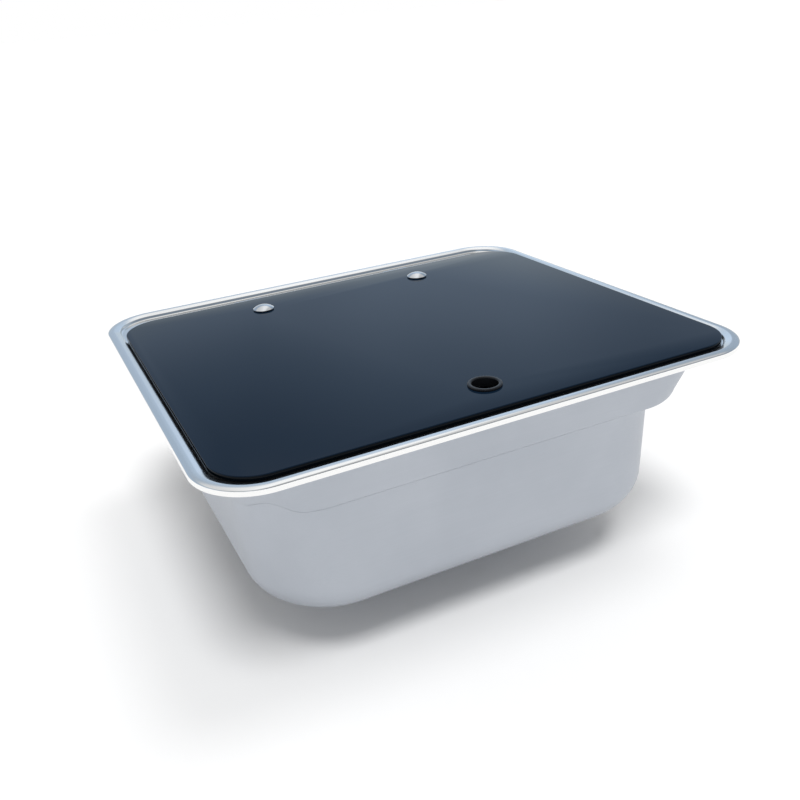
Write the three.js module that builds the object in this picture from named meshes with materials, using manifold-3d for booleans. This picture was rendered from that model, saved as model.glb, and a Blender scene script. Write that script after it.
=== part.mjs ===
// Drop-in camper sink with a hinged smoked-glass lid.
// Millimetres, +Z up. The origin is the centre of the rim's outline, in the plane of the
// worktop that the rim lies on. +X is the tap-shelf side, +Y the hinge side.

import * as THREE from "three";
import { mergeVertices } from "three/addons/utils/BufferGeometryUtils.js";
import Module from "manifold-3d";

const wasm = await Module();
wasm.setup();

// ---------------------------------------------------------------- driving dimensions

// Clearances
const touchGap = 0.3; // between pieces that seat on each other's round or turned faces
const restGap = 0.4; // round the inserts in the drilled glass
const drillReach = 14; // length of the tools that drill a sheet right through

// Rim of the pressing
const rimWidth = 420;
const rimDepth = 370;
const rimCornerRadius = 43;
const sheet = 0.9;
const beadWidth = 12;
const beadHeight = 4.75;
const beadLip = 3.3; // straight outer face under the bead
const beadCrestInset = 5.1;
const beadShoulderInset = 10.2; // from the crest the bead falls gently to here, then drops
const beadShoulderHeight = 3.4;
const beadFoot = 0.85; // height of the rounding where the bead runs into the flange
const beadFootRun = 1.1;
const sealHollowGap = 0.7; // above the soft strip in the bead's hollow

// First stage of the pressing: a shallow tray. Margins run from the rim's outline.
const trayMarginLeft = 28.5;
const trayMarginRight = 22.3;
const trayMarginFront = 22.5;
const trayMarginBack = 46.5;
const trayMouthRadius = 4;
const trayCornerRadius = 37;
const trayFloorCornerRadius = 53;
const trayDepth = 36.8;
const trayDraft = 2;
const trayDraftRight = 9;
const trayFloorRadius = 1.2;
const trayFloorRadiusRight = 5;
const cornerLift = 6.5; // how far the tray's floor line climbs in the two left corners
const cornerLiftSpan = 0.56; // share of the corner's arc over which it climbs and falls back

// Second stage: the bowl. Ledges run from the tray's floor line.
const ledgeSide = 2.6;
const ledgeRight = 12;
const bowlEdgeRadius = 1.3;
const bowlEdgeRadiusRight = 3;
const bowlDepth = 132.2;
const bowlDraftLeft = 3.5;
const bowlDraft = 1.5;
const bowlFloorRadius = 27;
const bowlCornerLeft = 65;
const bowlCornerFrontRight = 76;
const bowlCornerTap = 182;
const bowlFloorFall = 1.5;

// Tap hole in the shelf
const tapHoleRadius = 17.5;

// Glass lid
const glassThickness = 4;
const glassMargin = 12.3;
const glassMarginBack = 34.3;
const glassCornerRadius = 31.5;
const glassBevel = 0.6;
const sealHeight = 1.5;
const sealWidth = 5;
const sealInset = 0.5;

// Finger hole, with a two-part grommet
const fingerHoleX = -0.8;
const fingerHoleToFrontEdge = 34.3;
const fingerBore = 9.2;
const fingerSleeveWall = 0.9;
const fingerCollarRadius = 12.05;
const fingerCollarHeight = 1.9;
const fingerNutRadius = 13.4;
const fingerNutHeight = 1.4;

// Lid hinges
const hingeSpacing = 156;
const hingeMiddleX = 2.2; // the pair of hinges stands a little right of the lid's middle
const capToBackEdge = 34.7;
const capRadius = 9.3;
const capEdgeHeight = 0.5; // straight edge of the button, under its dome
const capDomeHeight = 3.2;
const capWasherRadius = 9;
const capWasherHeight = 0.8;
const studRadius = 2.5;
const bushWall = 0.9;
const leafWidth = 22;
const leafThickness = 0.9;
const leafPadThickness = 0.3;
const clampNutHeight = 3.2;
const clampNutRadius = 4.9;
const pivotBehindGlass = 3.4;
const pinRadius = 0.95;
const eyeRadius = 2.1;
const pinHeadRadius = 1.6;
const pinHeadLength = 0.9;
const lugWidth = 3;
const basePlateThickness = 1;
const basePlateLength = 14.5;
const rivetRadius = 1.6;
const rivetHeadRadius = 3;
const rivetHeadHeight = 0.9;
const rivetTailRadius = 2.6;
const rivetSeatDepth = 0.45; // the tail lies in a shallow seat, so the rim's underside stays flat
const rivetTailInset = 0.05; // from the rim's underside up to the tail
const rivetInsetX = 5.5;
const rivetInsetY = 6;

// Waste fitting under the bowl
const wasteRecessRadius = 33;
const wasteRecessDepth = 3.5;
const wasteRecessSlope = 3;
const wasteHoleRadius = 21;
const strainerFlangeRadius = 28.6;
const strainerSheet = 1;
const strainerNeckRadius = 20.2;
const strainerDepth = 11;
const strainerHoles = 8;
const strainerHoleRadius = 2.6;
const strainerHolePitchRadius = 11.5;
const upperGasketHeight = 1;
const lowerGasketHeight = 2;
const gasketInset = 0.8;
const cupFlangeRadius = 28;
const cupFlangeHeight = 3;
const cupOuterRadius = 24.2;
const cupWall = 2.4;
const cupDepth = 34;
const postRadius = 5;
const wasteScrewRadius = 3;
const wasteScrewHeadRadius = 6;
const wasteScrewHeadHeight = 2;
const wasteScrewLength = 17;
const wasteScrewSlot = 1.1;
const spoutRadius = 12.7;
const spoutBore = 10;
const spoutReach = 56;
const spoutBarbs = 3;
const spoutBarbHeight = 0.9;
const spoutBarbPitch = 7;

// Plug
const plugLipRadius = 22.5;
const plugLipHeight = 1.6;
const plugBodyHeight = 6;
const plugTaper = 0.8;
const plugCollarRadius = 6;
const plugStemRadius = 2.6;
const plugKnobRadius = 7;
const plugKnobHeight = 3.4;
const plugStemHeight = 8;
const plugStemDepth = 4;

// Smoothness of round shapes
const cornerSteps = 11;
const tapCornerSteps = 13;
const turnSteps = 20;
const smallTurnSteps = 10;
const fineTurnSteps = 28; // for the round pieces in full view on the lid

// ---------------------------------------------------------------- sizes that follow

const half = (size) => size / 2;
const flangeTop = sheet;
const glassUnder = flangeTop + sealHeight;
const glassTop = glassUnder + glassThickness;
const glassLeft = -half(rimWidth) + glassMargin;
const glassRight = half(rimWidth) - glassMargin;
const glassFront = -half(rimDepth) + glassMargin;
const glassBack = half(rimDepth) - glassMarginBack;
const fingerHoleY = glassFront + fingerHoleToFrontEdge;
const fingerSleeveRadius = fingerBore + fingerSleeveWall;
const bushRadius = studRadius + touchGap + bushWall;
const capY = glassBack - capToBackEdge;
const pivotY = glassBack + pivotBehindGlass;
const leafTop = glassUnder - leafPadThickness;
const leafUnder = leafTop - leafThickness;
const pivotZ = leafUnder + eyeRadius;

const rim = {
  left: -half(rimWidth),
  right: half(rimWidth),
  front: -half(rimDepth),
  back: half(rimDepth),
};
const tray = {
  left: rim.left + trayMarginLeft,
  right: rim.right - trayMarginRight,
  front: rim.front + trayMarginFront,
  back: rim.back - trayMarginBack,
};
const trayFoot = {
  left: tray.left + trayDraft,
  right: tray.right - trayDraftRight,
  front: tray.front + trayDraft,
  back: tray.back - trayDraft,
};
const bowl = {
  left: trayFoot.left + ledgeSide,
  right: trayFoot.right - ledgeRight,
  front: trayFoot.front + ledgeSide,
  back: trayFoot.back - ledgeSide,
};
const wasteX = half(bowl.left + bowl.right);
const wasteY = half(bowl.front + bowl.back);
const recessTop = -bowlDepth - bowlFloorFall;
const recessFloor = recessTop - wasteRecessDepth;
const pressingUnder = recessFloor - sheet;

// The tap hole sits midway between the tray's corner and the bowl's corner, on the shelf.
const shelfCorner = {
  x: trayFoot.right - trayFloorCornerRadius,
  y: trayFoot.back - trayFloorCornerRadius,
};
const bowlTapCentre = { x: bowl.right - bowlCornerTap, y: bowl.back - bowlCornerTap };
const tapHole = tapHoleCentre();

// ---------------------------------------------------------------- material finishes

const finish = (color, roughness, metalness, extra = {}) =>
  new THREE.MeshStandardMaterial({ color, roughness, metalness, ...extra });
const finishes = {
  pressing: () => finish(0xc3cad2, 0.38, 0.9),
  smokedGlass: () => finish(0x1c242e, 0.06, 0.0),
  polished: () => finish(0xd9dce0, 0.16, 1.0),
  brushed: () => finish(0xb7bcc2, 0.34, 1.0),
  blackPlastic: () => finish(0x0d0f12, 0.35, 0.0),
  blackRubber: () => finish(0x14161a, 0.7, 0.0),
  foam: () => finish(0x2a2c2f, 0.9, 0.0),
  fibre: () => finish(0x3a3d40, 0.8, 0.0),
};

// ---------------------------------------------------------------- geometry helpers

/** A closed solid from a three.js geometry: shared vertices merged, faces pointing out. */
function solidOf(geometry) {
  const bare = (geometry.index ? geometry.toNonIndexed() : geometry).clone();
  for (const name of Object.keys(bare.attributes)) {
    if (name !== "position") bare.deleteAttribute(name);
  }
  const merged = mergeVertices(bare, 1e-4);
  const corners = merged.index.array;
  const points = merged.attributes.position;
  const kept = [];
  let volume = 0;
  const a = new THREE.Vector3();
  const b = new THREE.Vector3();
  const c = new THREE.Vector3();
  for (let i = 0; i < corners.length; i += 3) {
    const [p, q, r] = [corners[i], corners[i + 1], corners[i + 2]];
    if (p === q || q === r || r === p) continue;
    kept.push(p, q, r);
    a.fromBufferAttribute(points, p);
    b.fromBufferAttribute(points, q);
    c.fromBufferAttribute(points, r);
    volume += a.dot(b.cross(c));
  }
  if (volume < 0) kept.reverse();
  const vertProperties = new Float32Array(points.array);
  const triVerts = new Uint32Array(kept);
  return new wasm.Manifold(new wasm.Mesh({ numProp: 3, vertProperties, triVerts }));
}

/** The three.js geometry of a solid. */
function geometryOf(solid) {
  const mesh = solid.getMesh();
  const geometry = new THREE.BufferGeometry();
  geometry.setAttribute("position", new THREE.BufferAttribute(new Float32Array(mesh.vertProperties), 3));
  geometry.setIndex(new THREE.BufferAttribute(new Uint32Array(mesh.triVerts), 1));
  geometry.computeVertexNormals();
  return geometry;
}

/** Points of a rounded rectangle, counter-clockwise from the front-left corner's start. */
function roundedOutline(edges, radii, steps = cornerSteps, tapSteps = steps) {
  const corners = [
    { x: edges.left, y: edges.front, sx: 1, sy: 1, r: radii.frontLeft, from: 180, n: steps },
    { x: edges.right, y: edges.front, sx: -1, sy: 1, r: radii.frontRight, from: 270, n: steps },
    { x: edges.right, y: edges.back, sx: -1, sy: -1, r: radii.backRight, from: 0, n: tapSteps },
    { x: edges.left, y: edges.back, sx: 1, sy: -1, r: radii.backLeft, from: 90, n: steps },
  ];
  const points = [];
  for (const corner of corners) {
    for (let i = 0; i <= corner.n; i += 1) {
      const angle = THREE.MathUtils.degToRad(corner.from + (90 * i) / corner.n);
      const x = corner.x + corner.sx * corner.r + corner.r * Math.cos(angle);
      const y = corner.y + corner.sy * corner.r + corner.r * Math.sin(angle);
      points.push(new THREE.Vector2(x, y));
    }
  }
  return points;
}

const evenRadii = (r) => ({ frontLeft: r, frontRight: r, backRight: r, backLeft: r });
const inset = (edges, d) => ({
  left: edges.left + d,
  right: edges.right - d,
  front: edges.front + d,
  back: edges.back - d,
});

/** A flat plate of one outline, with holes, from z0 to z1. */
function plate(outline, holes, z0, z1) {
  const shape = new THREE.Shape(outline);
  shape.holes.push(...holes);
  const geometry = new THREE.ExtrudeGeometry(shape, { depth: z1 - z0, bevelEnabled: false });
  geometry.translate(0, 0, z0);
  return geometry;
}

/** Points evenly round a circle, counter-clockwise. */
function roundOutline(x, y, r, steps) {
  const points = [];
  for (let i = 0; i < steps; i += 1) {
    const angle = (2 * Math.PI * i) / steps;
    points.push(new THREE.Vector2(x + r * Math.cos(angle), y + r * Math.sin(angle)));
  }
  return points;
}

/** A small round hole for a plate. */
const roundHole = (x, y, r) => new THREE.Path(roundOutline(x, y, r, smallTurnSteps).reverse());

/** A solid turned about a vertical axis at (x, y), from a closed profile of [radius, z] points. */
function turned(profile, x, y, steps = turnSteps) {
  const points = [...profile, profile[0]].map(([r, z]) => new THREE.Vector2(r, z));
  const geometry = new THREE.LatheGeometry(points, steps);
  geometry.rotateX(Math.PI / 2);
  geometry.translate(x, y, 0);
  return solidOf(geometry);
}

/** A round bar along X, Y or Z through a centre. */
function bar(axis, radius, length, x, y, z, steps = smallTurnSteps) {
  const geometry = new THREE.CylinderGeometry(radius, radius, length, steps);
  if (axis === "x") geometry.rotateZ(Math.PI / 2);
  if (axis === "z") geometry.rotateX(Math.PI / 2);
  geometry.translate(x, y, z);
  return solidOf(geometry);
}

/** Two triangles for each step along two neighbouring loops of `around` points each. */
function bandFaces(here, next, around) {
  const faces = [];
  for (let j = 0; j < around; j += 1) {
    const k = (j + 1) % around;
    faces.push(here + j, here + k, next + k, here + j, next + k, next + j);
  }
  return faces;
}

function skinSolid(rings, index) {
  const positions = rings.flat().flatMap((point) => [point.x, point.y, point.z]);
  const geometry = new THREE.BufferGeometry();
  geometry.setAttribute("position", new THREE.Float32BufferAttribute(positions, 3));
  geometry.setIndex(index);
  return solidOf(geometry);
}

/** A solid ring whose section is the closed run of the given loops of points. */
function loopSolid(rings) {
  const around = rings[0].length;
  const bands = rings.map((_, i) => bandFaces(i * around, ((i + 1) % rings.length) * around, around));
  return skinSolid(rings, bands.flat());
}

/** A solid between stacked loops of points, closed by a flat face at the first and the last. */
function prismOf(rings) {
  const around = rings[0].length;
  const top = (rings.length - 1) * around;
  const index = rings.slice(1).flatMap((_, i) => bandFaces(i * around, (i + 1) * around, around));
  for (let j = 1; j + 1 < around; j += 1) {
    index.push(0, j + 1, j);
    index.push(top, top + j, top + j + 1);
  }
  return skinSolid(rings, index);
}

/** Loops of one rounded rectangle, moved in by d and set at z, for each [d, z] of a section. */
function loopsAlong(edges, cornerRadius, section) {
  return section.map(([d, z]) =>
    roundedOutline(inset(edges, d), evenRadii(cornerRadius - d)).map(
      (point) => new THREE.Vector3(point.x, point.y, z),
    ),
  );
}

/** A rectangular block between two corners. */
function block(x0, x1, y0, y1, z0, z1) {
  const geometry = new THREE.BoxGeometry(x1 - x0, y1 - y0, z1 - z0);
  geometry.translate(half(x0 + x1), half(y0 + y1), half(z0 + z1));
  return solidOf(geometry);
}

// ---------------------------------------------------------------- the pressing

/** Midway between the two arcs that bound the shelf, where the land round the hole is widest. */
function tapHoleCentre() {
  const dx = shelfCorner.x - bowlTapCentre.x;
  const dy = shelfCorner.y - bowlTapCentre.y;
  const apart = Math.hypot(dx, dy);
  const fromBowlCentre = half(bowlCornerTap + apart + trayFloorCornerRadius);
  return {
    x: bowlTapCentre.x + (dx / apart) * fromBowlCentre,
    y: bowlTapCentre.y + (dy / apart) * fromBowlCentre,
  };
}

/**
 * One station of the pressing's section: a rounded rectangle at a height, which may differ from
 * side to side. lean is the angle of the sheet's upper face from level: 0 faces up, 90 faces the
 * middle of the bowl and -90 faces away from it. lift raises the two left corners.
 */
function station(edges, radii, heights, lean, lift = 0) {
  const z = typeof heights === "number" ? { side: heights, right: heights } : heights;
  return { edges, radii, z, lean, lift };
}

/** The ring of points of a station, on the upper face or, moved by the sheet, on the lower one. */
function ringOf(place, thickness) {
  const lean = THREE.MathUtils.degToRad(place.lean);
  const outward = thickness * Math.sin(lean);
  const drop = thickness * Math.cos(lean);
  const radii = {};
  for (const [name, r] of Object.entries(place.radii)) radii[name] = r + outward;
  const outline = roundedOutline(inset(place.edges, -outward), radii, cornerSteps, tapCornerSteps);
  const middle = half(place.edges.left + place.edges.right);
  return outline.map((point, i) => {
    const z = point.x > middle ? rightHeight(place, point) : place.z.side;
    return new THREE.Vector3(point.x, point.y, z + place.lift * leftCornerShare(i) - drop);
  });
}

/** Height on the right half: the sides' own height, passing smoothly to the right end's height. */
function rightHeight(place, point) {
  const isFront = point.y < half(place.edges.front + place.edges.back);
  const r = isFront ? place.radii.frontRight : Math.min(place.radii.backRight, place.radii.frontRight);
  const share = THREE.MathUtils.smoothstep(point.x, place.edges.right - r, place.edges.right);
  return THREE.MathUtils.lerp(place.z.side, place.z.right, share);
}

/** 1 in the middle of the two left corners, falling smoothly to 0 either side, by the point's number. */
function leftCornerShare(i) {
  const lastCornerStart = 2 * (cornerSteps + 1) + tapCornerSteps + 1;
  const step = i <= cornerSteps ? i : i - lastCornerStart;
  if (step < 0) return 0;
  const fromMiddle = Math.abs(step / cornerSteps - 0.5) / half(cornerLiftSpan);
  return fromMiddle < 1 ? Math.cos(half(Math.PI) * fromMiddle) ** 2 : 0;
}

/** A round hole seen as a rounded rectangle whose corners meet: the same number of points. */
function circleStation(x, y, r, z, lean) {
  const edges = { left: x - r, right: x + r, front: y - r, back: y + r };
  return station(edges, evenRadii(r), z, lean);
}

function pressingStations() {
  const onRim = (d, z, lean) => station(inset(rim, d), evenRadii(rimCornerRadius - d), z, lean);
  const onCrest = (angle, lean) => {
    const t = THREE.MathUtils.degToRad(angle);
    const rise = (beadHeight - beadLip) * Math.sin(t);
    return onRim(beadCrestInset * (1 - Math.cos(t)), beadLip + rise, lean);
  };
  const stations = [
    onRim(0, 0, -90),
    onCrest(0, -68),
    onCrest(30, -31),
    onCrest(60, -10),
    onCrest(90, 0),
    onRim(beadShoulderInset, beadShoulderHeight, 40),
    onRim(beadWidth - beadFootRun, flangeTop + beadFoot, 50),
    onRim(beadWidth, flangeTop, 0),
  ];

  // Mouth of the tray: a quarter round from the flange down into the wall
  const mouthEdges = inset(tray, -trayMouthRadius);
  for (const angle of [0, 30, 60, 90]) {
    const t = THREE.MathUtils.degToRad(angle);
    const d = trayMouthRadius * Math.sin(t);
    const z = flangeTop - trayMouthRadius * (1 - Math.cos(t));
    stations.push(station(inset(mouthEdges, d), evenRadii(trayCornerRadius + trayMouthRadius - d), z, angle));
  }

  // Foot of the tray's wall, rounded into its floor
  for (const angle of [85, 45, 0]) {
    const t = THREE.MathUtils.degToRad(angle);
    const side = trayFloorRadius * (1 - Math.sin(t));
    const end = trayFloorRadiusRight * (1 - Math.sin(t));
    const edges = { ...inset(trayFoot, side), right: trayFoot.right - end };
    const z = {
      side: -trayDepth + trayFloorRadius * (1 - Math.cos(t)),
      right: -trayDepth + trayFloorRadiusRight * (1 - Math.cos(t)),
    };
    stations.push(station(edges, evenRadii(trayFloorCornerRadius - side), z, angle, cornerLift));
  }

  // Edge of the bowl, rounded from the ledge down into its wall
  const bowlRadii = (d) => ({
    frontLeft: bowlCornerLeft - d,
    backLeft: bowlCornerLeft - d,
    frontRight: bowlCornerFrontRight - d,
    backRight: bowlCornerTap - d,
  });
  for (const angle of [0, 35, 85]) {
    const t = THREE.MathUtils.degToRad(angle);
    const side = bowlEdgeRadius * (Math.sin(t) - 1);
    const end = bowlEdgeRadiusRight * (Math.sin(t) - 1);
    const edges = { ...inset(bowl, side), right: bowl.right - end };
    const z = {
      side: -trayDepth - bowlEdgeRadius * (1 - Math.cos(t)),
      right: -trayDepth - bowlEdgeRadiusRight * (1 - Math.cos(t)),
    };
    stations.push(station(edges, bowlRadii(side), z, angle, cornerLift));
  }

  // Foot of the bowl's wall, rounded into its floor
  const wallFoot = {
    left: bowl.left + bowlDraftLeft,
    right: bowl.right - bowlDraft,
    front: bowl.front + bowlDraft,
    back: bowl.back - bowlDraft,
  };
  for (const angle of [87, 66, 44, 22, 0]) {
    const t = THREE.MathUtils.degToRad(angle);
    const d = bowlFloorRadius * (1 - Math.sin(t));
    const z = -bowlDepth + bowlFloorRadius * (1 - Math.cos(t));
    stations.push(station(inset(wallFoot, d), bowlRadii(d), z, angle));
  }

  // Recess for the waste, and the edge of its hole
  stations.push(circleStation(wasteX, wasteY, wasteRecessRadius, recessTop, 5));
  stations.push(circleStation(wasteX, wasteY, wasteRecessRadius - wasteRecessSlope, recessFloor, 0));
  stations.push(circleStation(wasteX, wasteY, wasteHoleRadius, recessFloor, 0));
  return stations;
}

/** A closed skin through the stations: the upper faces inwards, then the lower ones back out. */
function sinkPressing() {
  const stations = pressingStations();
  const upper = stations.map((place) => ringOf(place, 0));
  const lower = stations.map((place) => ringOf(place, sheet)).reverse();
  const drill = bar("z", tapHoleRadius, drillReach, tapHole.x, tapHole.y, -trayDepth, turnSteps);
  return loopSolid([...upper, ...lower]).subtract(drill);
}

/** A soft strip lying in the hollow under the bead, level with the rim's lower edge. */
function rimSeal() {
  const outer = sheet + touchGap;
  const inner = beadWidth - 2 * sheet;
  const top = beadHeight - sheet - sealHollowGap;
  const section = [
    [outer, 0],
    [outer, beadLip - sheet],
    [beadCrestInset, top],
    [inner - beadFoot, flangeTop],
    [inner, 0],
  ];
  return loopSolid(loopsAlong(rim, rimCornerRadius, section));
}

// ---------------------------------------------------------------- the lid and its seal

const hingeX = [hingeMiddleX - half(hingeSpacing), hingeMiddleX + half(hingeSpacing)];
const sealCut = half(leafWidth) + 1; // from a hinge's middle to the strip's end
const glassEdges = { left: glassLeft, right: glassRight, front: glassFront, back: glassBack };

/** The lid's pane, bevelled round its outline and drilled for the two hinges and the finger hole. */
function glassLid() {
  const section = [
    [glassBevel, glassUnder],
    [0, glassUnder + glassBevel],
    [0, glassTop - glassBevel],
    [glassBevel, glassTop],
  ];
  const drill = (radius, x, y) => bar("z", radius + restGap, drillReach, x, y, glassUnder, turnSteps);
  return prismOf(loopsAlong(glassEdges, glassCornerRadius, section))
    .subtract(drill(bushRadius, hingeX[0], capY))
    .subtract(drill(bushRadius, hingeX[1], capY))
    .subtract(drill(fingerSleeveRadius, fingerHoleX, fingerHoleY));
}

/** The rubber strip on the flange under the glass's edge, before it is cut at the hinges. */
function sealLoop() {
  const outer = roundedOutline(inset(glassEdges, sealInset), evenRadii(glassCornerRadius - sealInset));
  const d = sealInset + sealWidth;
  const inner = roundedOutline(inset(glassEdges, d), evenRadii(glassCornerRadius - d));
  return solidOf(plate(outer, [new THREE.Path(inner.reverse())], flangeTop, glassUnder));
}

/** Everything behind the middle of the sink between two places along X. */
const backBlock = (x0, x1) => block(x0, x1, 0, rimDepth, -1, beadHeight);

/** The short run of the strip between the two hinges. */
function sealBackStrip() {
  return sealLoop().intersect(backBlock(hingeX[0] + sealCut, hingeX[1] - sealCut));
}

/** The long run of the strip, from one hinge round the front to the other. */
function sealFrontRun() {
  return sealLoop().subtract(backBlock(hingeX[0] - sealCut, hingeX[1] + sealCut));
}

/** A sleeve through the glass with a rounded collar on top of it. */
function fingerCollar() {
  const r0 = fingerBore;
  const r1 = fingerSleeveRadius;
  const r2 = fingerCollarRadius;
  const top = glassTop + fingerCollarHeight;
  const profile = [
    [r0, glassUnder - fingerNutHeight],
    [r1, glassUnder - fingerNutHeight],
    [r1, glassTop],
    [r2, glassTop],
    [r2, top - 1],
    [r2 - 0.5, top - 0.2],
    [r2 - 1, top],
    [r0 + 0.8, top],
    [r0 + 0.2, top - 0.3],
    [r0, top - 1],
  ];
  return turned(profile, fingerHoleX, fingerHoleY, fineTurnSteps);
}

/** The ring on the sleeve's end that holds the collar from below. */
function fingerNut() {
  const r0 = fingerSleeveRadius + touchGap;
  const profile = [
    [r0, glassUnder - fingerNutHeight],
    [fingerNutRadius - 0.4, glassUnder - fingerNutHeight],
    [fingerNutRadius, glassUnder - fingerNutHeight + 0.4],
    [fingerNutRadius, glassUnder],
    [r0, glassUnder],
  ];
  return turned(profile, fingerHoleX, fingerHoleY);
}

// ---------------------------------------------------------------- one lid hinge, at x

/** Section of a round dome, as [radius, z] from its edge at z up to the middle. */
function domeSection(radius, rise, z) {
  const ball = (radius * radius + rise * rise) / (2 * rise);
  return [1, 0.86, 0.64, 0.36, 0].map((share) => {
    const r = share * radius;
    return [r, z + rise - ball + Math.sqrt(ball * ball - r * r)];
  });
}

/** A domed button on top of the glass, in one piece with the stud that goes down through it. */
function hingeCap(x) {
  const seat = glassTop + capWasherHeight;
  const studEnd = leafUnder - clampNutHeight - 0.5;
  const profile = [
    [0, studEnd],
    [studRadius - 0.4, studEnd],
    [studRadius, studEnd + 0.4],
    [studRadius, seat],
    [capRadius, seat],
    ...domeSection(capRadius, capDomeHeight, seat + capEdgeHeight),
  ];
  return turned(profile, x, capY, fineTurnSteps);
}

/** A flanged sleeve that keeps the stud and its button off the glass. */
function glassBush(x) {
  const r0 = studRadius + touchGap;
  const foot = glassUnder + touchGap;
  const profile = [
    [r0, foot],
    [bushRadius, foot],
    [bushRadius, glassTop],
    [capWasherRadius, glassTop],
    [capWasherRadius, glassTop + capWasherHeight],
    [r0, glassTop + capWasherHeight],
  ];
  return turned(profile, x, capY);
}

/** Plan of the leaf from its round end at the cap to the pivot. */
function leafPlan(x, backY) {
  const r = half(leafWidth);
  const points = [new THREE.Vector2(x + r, backY), new THREE.Vector2(x - r, backY)];
  for (let i = 0; i <= cornerSteps * 2; i += 1) {
    const angle = Math.PI + (Math.PI * i) / (cornerSteps * 2);
    points.push(new THREE.Vector2(x + r * Math.cos(angle), capY + r * Math.sin(angle)));
  }
  return points;
}

/** The thin pad between glass and leaf. */
function leafPad(x) {
  const outline = leafPlan(x, glassBack - sealInset);
  const hole = roundHole(x, capY, studRadius + touchGap);
  return solidOf(plate(outline, [hole], leafTop, glassUnder));
}

/** The moving leaf under the glass, with its eye rolled round the pivot line. */
function hingeLeaf(x) {
  const outline = leafPlan(x, pivotY);
  const hole = roundHole(x, capY, studRadius + touchGap);
  const flat = solidOf(plate(outline, [hole], leafUnder, leafTop));
  const eye = bar("x", eyeRadius, leafWidth, x, pivotY, pivotZ);
  const bore = bar("x", pinRadius + touchGap, 2 * leafWidth, x, pivotY, pivotZ);
  return flat.add(eye).subtract(bore);
}

/** The six-sided nut that clamps leaf, pad and glass under the button. */
function clampNut(x) {
  const hexagon = roundOutline(x, capY, clampNutRadius, 6);
  const hole = roundHole(x, capY, studRadius + touchGap);
  return solidOf(plate(hexagon, [hole], leafUnder - clampNutHeight, leafUnder));
}

const lugInner = half(leafWidth) + touchGap;
const lugOuter = lugInner + lugWidth;
const rivetY = pivotY - eyeRadius + basePlateLength - rivetInsetY;

/** The base on the flange: a plate behind the leaf's eye and a lug at each end of it. */
function hingeBase(x) {
  const front = pivotY + eyeRadius + touchGap;
  const back = pivotY - eyeRadius + basePlateLength;
  const edges = { left: x - lugOuter, right: x + lugOuter, front, back };
  const plateTop = flangeTop + basePlateThickness;
  const outline = roundedOutline(edges, { frontLeft: 0.2, frontRight: 0.2, backRight: 3, backLeft: 3 });
  let solid = solidOf(plate(outline, [], flangeTop, plateTop));
  for (const side of [-1, 1]) {
    const middle = x + side * half(lugInner + lugOuter);
    const x0 = middle - half(lugWidth);
    solid = solid.add(bar("x", eyeRadius, lugWidth, middle, pivotY, pivotZ));
    solid = solid.add(block(x0, x0 + lugWidth, pivotY - eyeRadius, front + 1, flangeTop, pivotZ));
    solid = solid.subtract(rivetHole(x, side));
  }
  return solid.subtract(bar("x", pinRadius + touchGap, 3 * leafWidth, x, pivotY, pivotZ));
}

/** The pin through lugs and eye, with a head at both ends. */
function hingePin(x) {
  const end = lugOuter + touchGap;
  const head = end + pinHeadLength;
  const profile = [
    [0, -head],
    [pinHeadRadius - 0.4, -head],
    [pinHeadRadius, -head + 0.4],
    [pinHeadRadius, -end],
    [pinRadius, -end],
    [pinRadius, end],
    [pinHeadRadius, end],
    [pinHeadRadius, head - 0.4],
    [pinHeadRadius - 0.4, head],
    [0, head],
  ].map(([r, z]) => new THREE.Vector2(r, z));
  const geometry = new THREE.LatheGeometry(profile, smallTurnSteps);
  geometry.rotateZ(Math.PI / 2);
  geometry.translate(x, pivotY, pivotZ);
  return solidOf(geometry);
}

/** Where the rivet at one end of a base stands along X. */
const rivetX = (x, side) => x + side * (lugOuter - rivetInsetX);

/** The hole for that rivet, through base and flange. */
const rivetHole = (x, side) =>
  bar("z", rivetRadius + touchGap, drillReach, rivetX(x, side), rivetY, flangeTop);

/** The shallow round seat for its tail, in the flange's underside. */
const rivetSeat = (x, side) =>
  bar("z", rivetTailRadius + touchGap, 2 * rivetSeatDepth, rivetX(x, side), rivetY, 0);

/** A rivet with a domed head on the base and a flat tail set flush in the flange. */
function baseRivet(x, side) {
  const seat = flangeTop + basePlateThickness;
  const profile = [
    [0, rivetTailInset],
    [rivetTailRadius, rivetTailInset],
    [rivetTailRadius, rivetSeatDepth],
    [rivetRadius, rivetSeatDepth],
    [rivetRadius, seat],
    [rivetHeadRadius, seat],
    [rivetHeadRadius - 0.4, seat + 0.6 * rivetHeadHeight],
    [0, seat + rivetHeadHeight],
  ];
  return turned(profile, rivetX(x, side), rivetY, smallTurnSteps);
}

// ---------------------------------------------------------------- the waste and its plug

const strainerSeat = recessFloor + upperGasketHeight;
const strainerTop = strainerSeat + strainerSheet;
const strainerFloor = strainerTop - strainerDepth;
const cupTop = pressingUnder - lowerGasketHeight;
const cupFloor = cupTop - cupDepth;
const cupBore = cupOuterRadius - cupWall;
const postTop = strainerFloor - strainerSheet - touchGap;

/** A flat washer round the waste's hole, from z0 to z1, kept inside a flange of the given radius. */
function gasket(flangeRadius, z0, z1) {
  const inner = wasteHoleRadius + gasketInset;
  const outer = flangeRadius - gasketInset;
  const profile = [
    [inner, z0],
    [outer, z0],
    [outer, z1],
    [inner, z1],
  ];
  return turned(profile, wasteX, wasteY);
}

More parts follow.
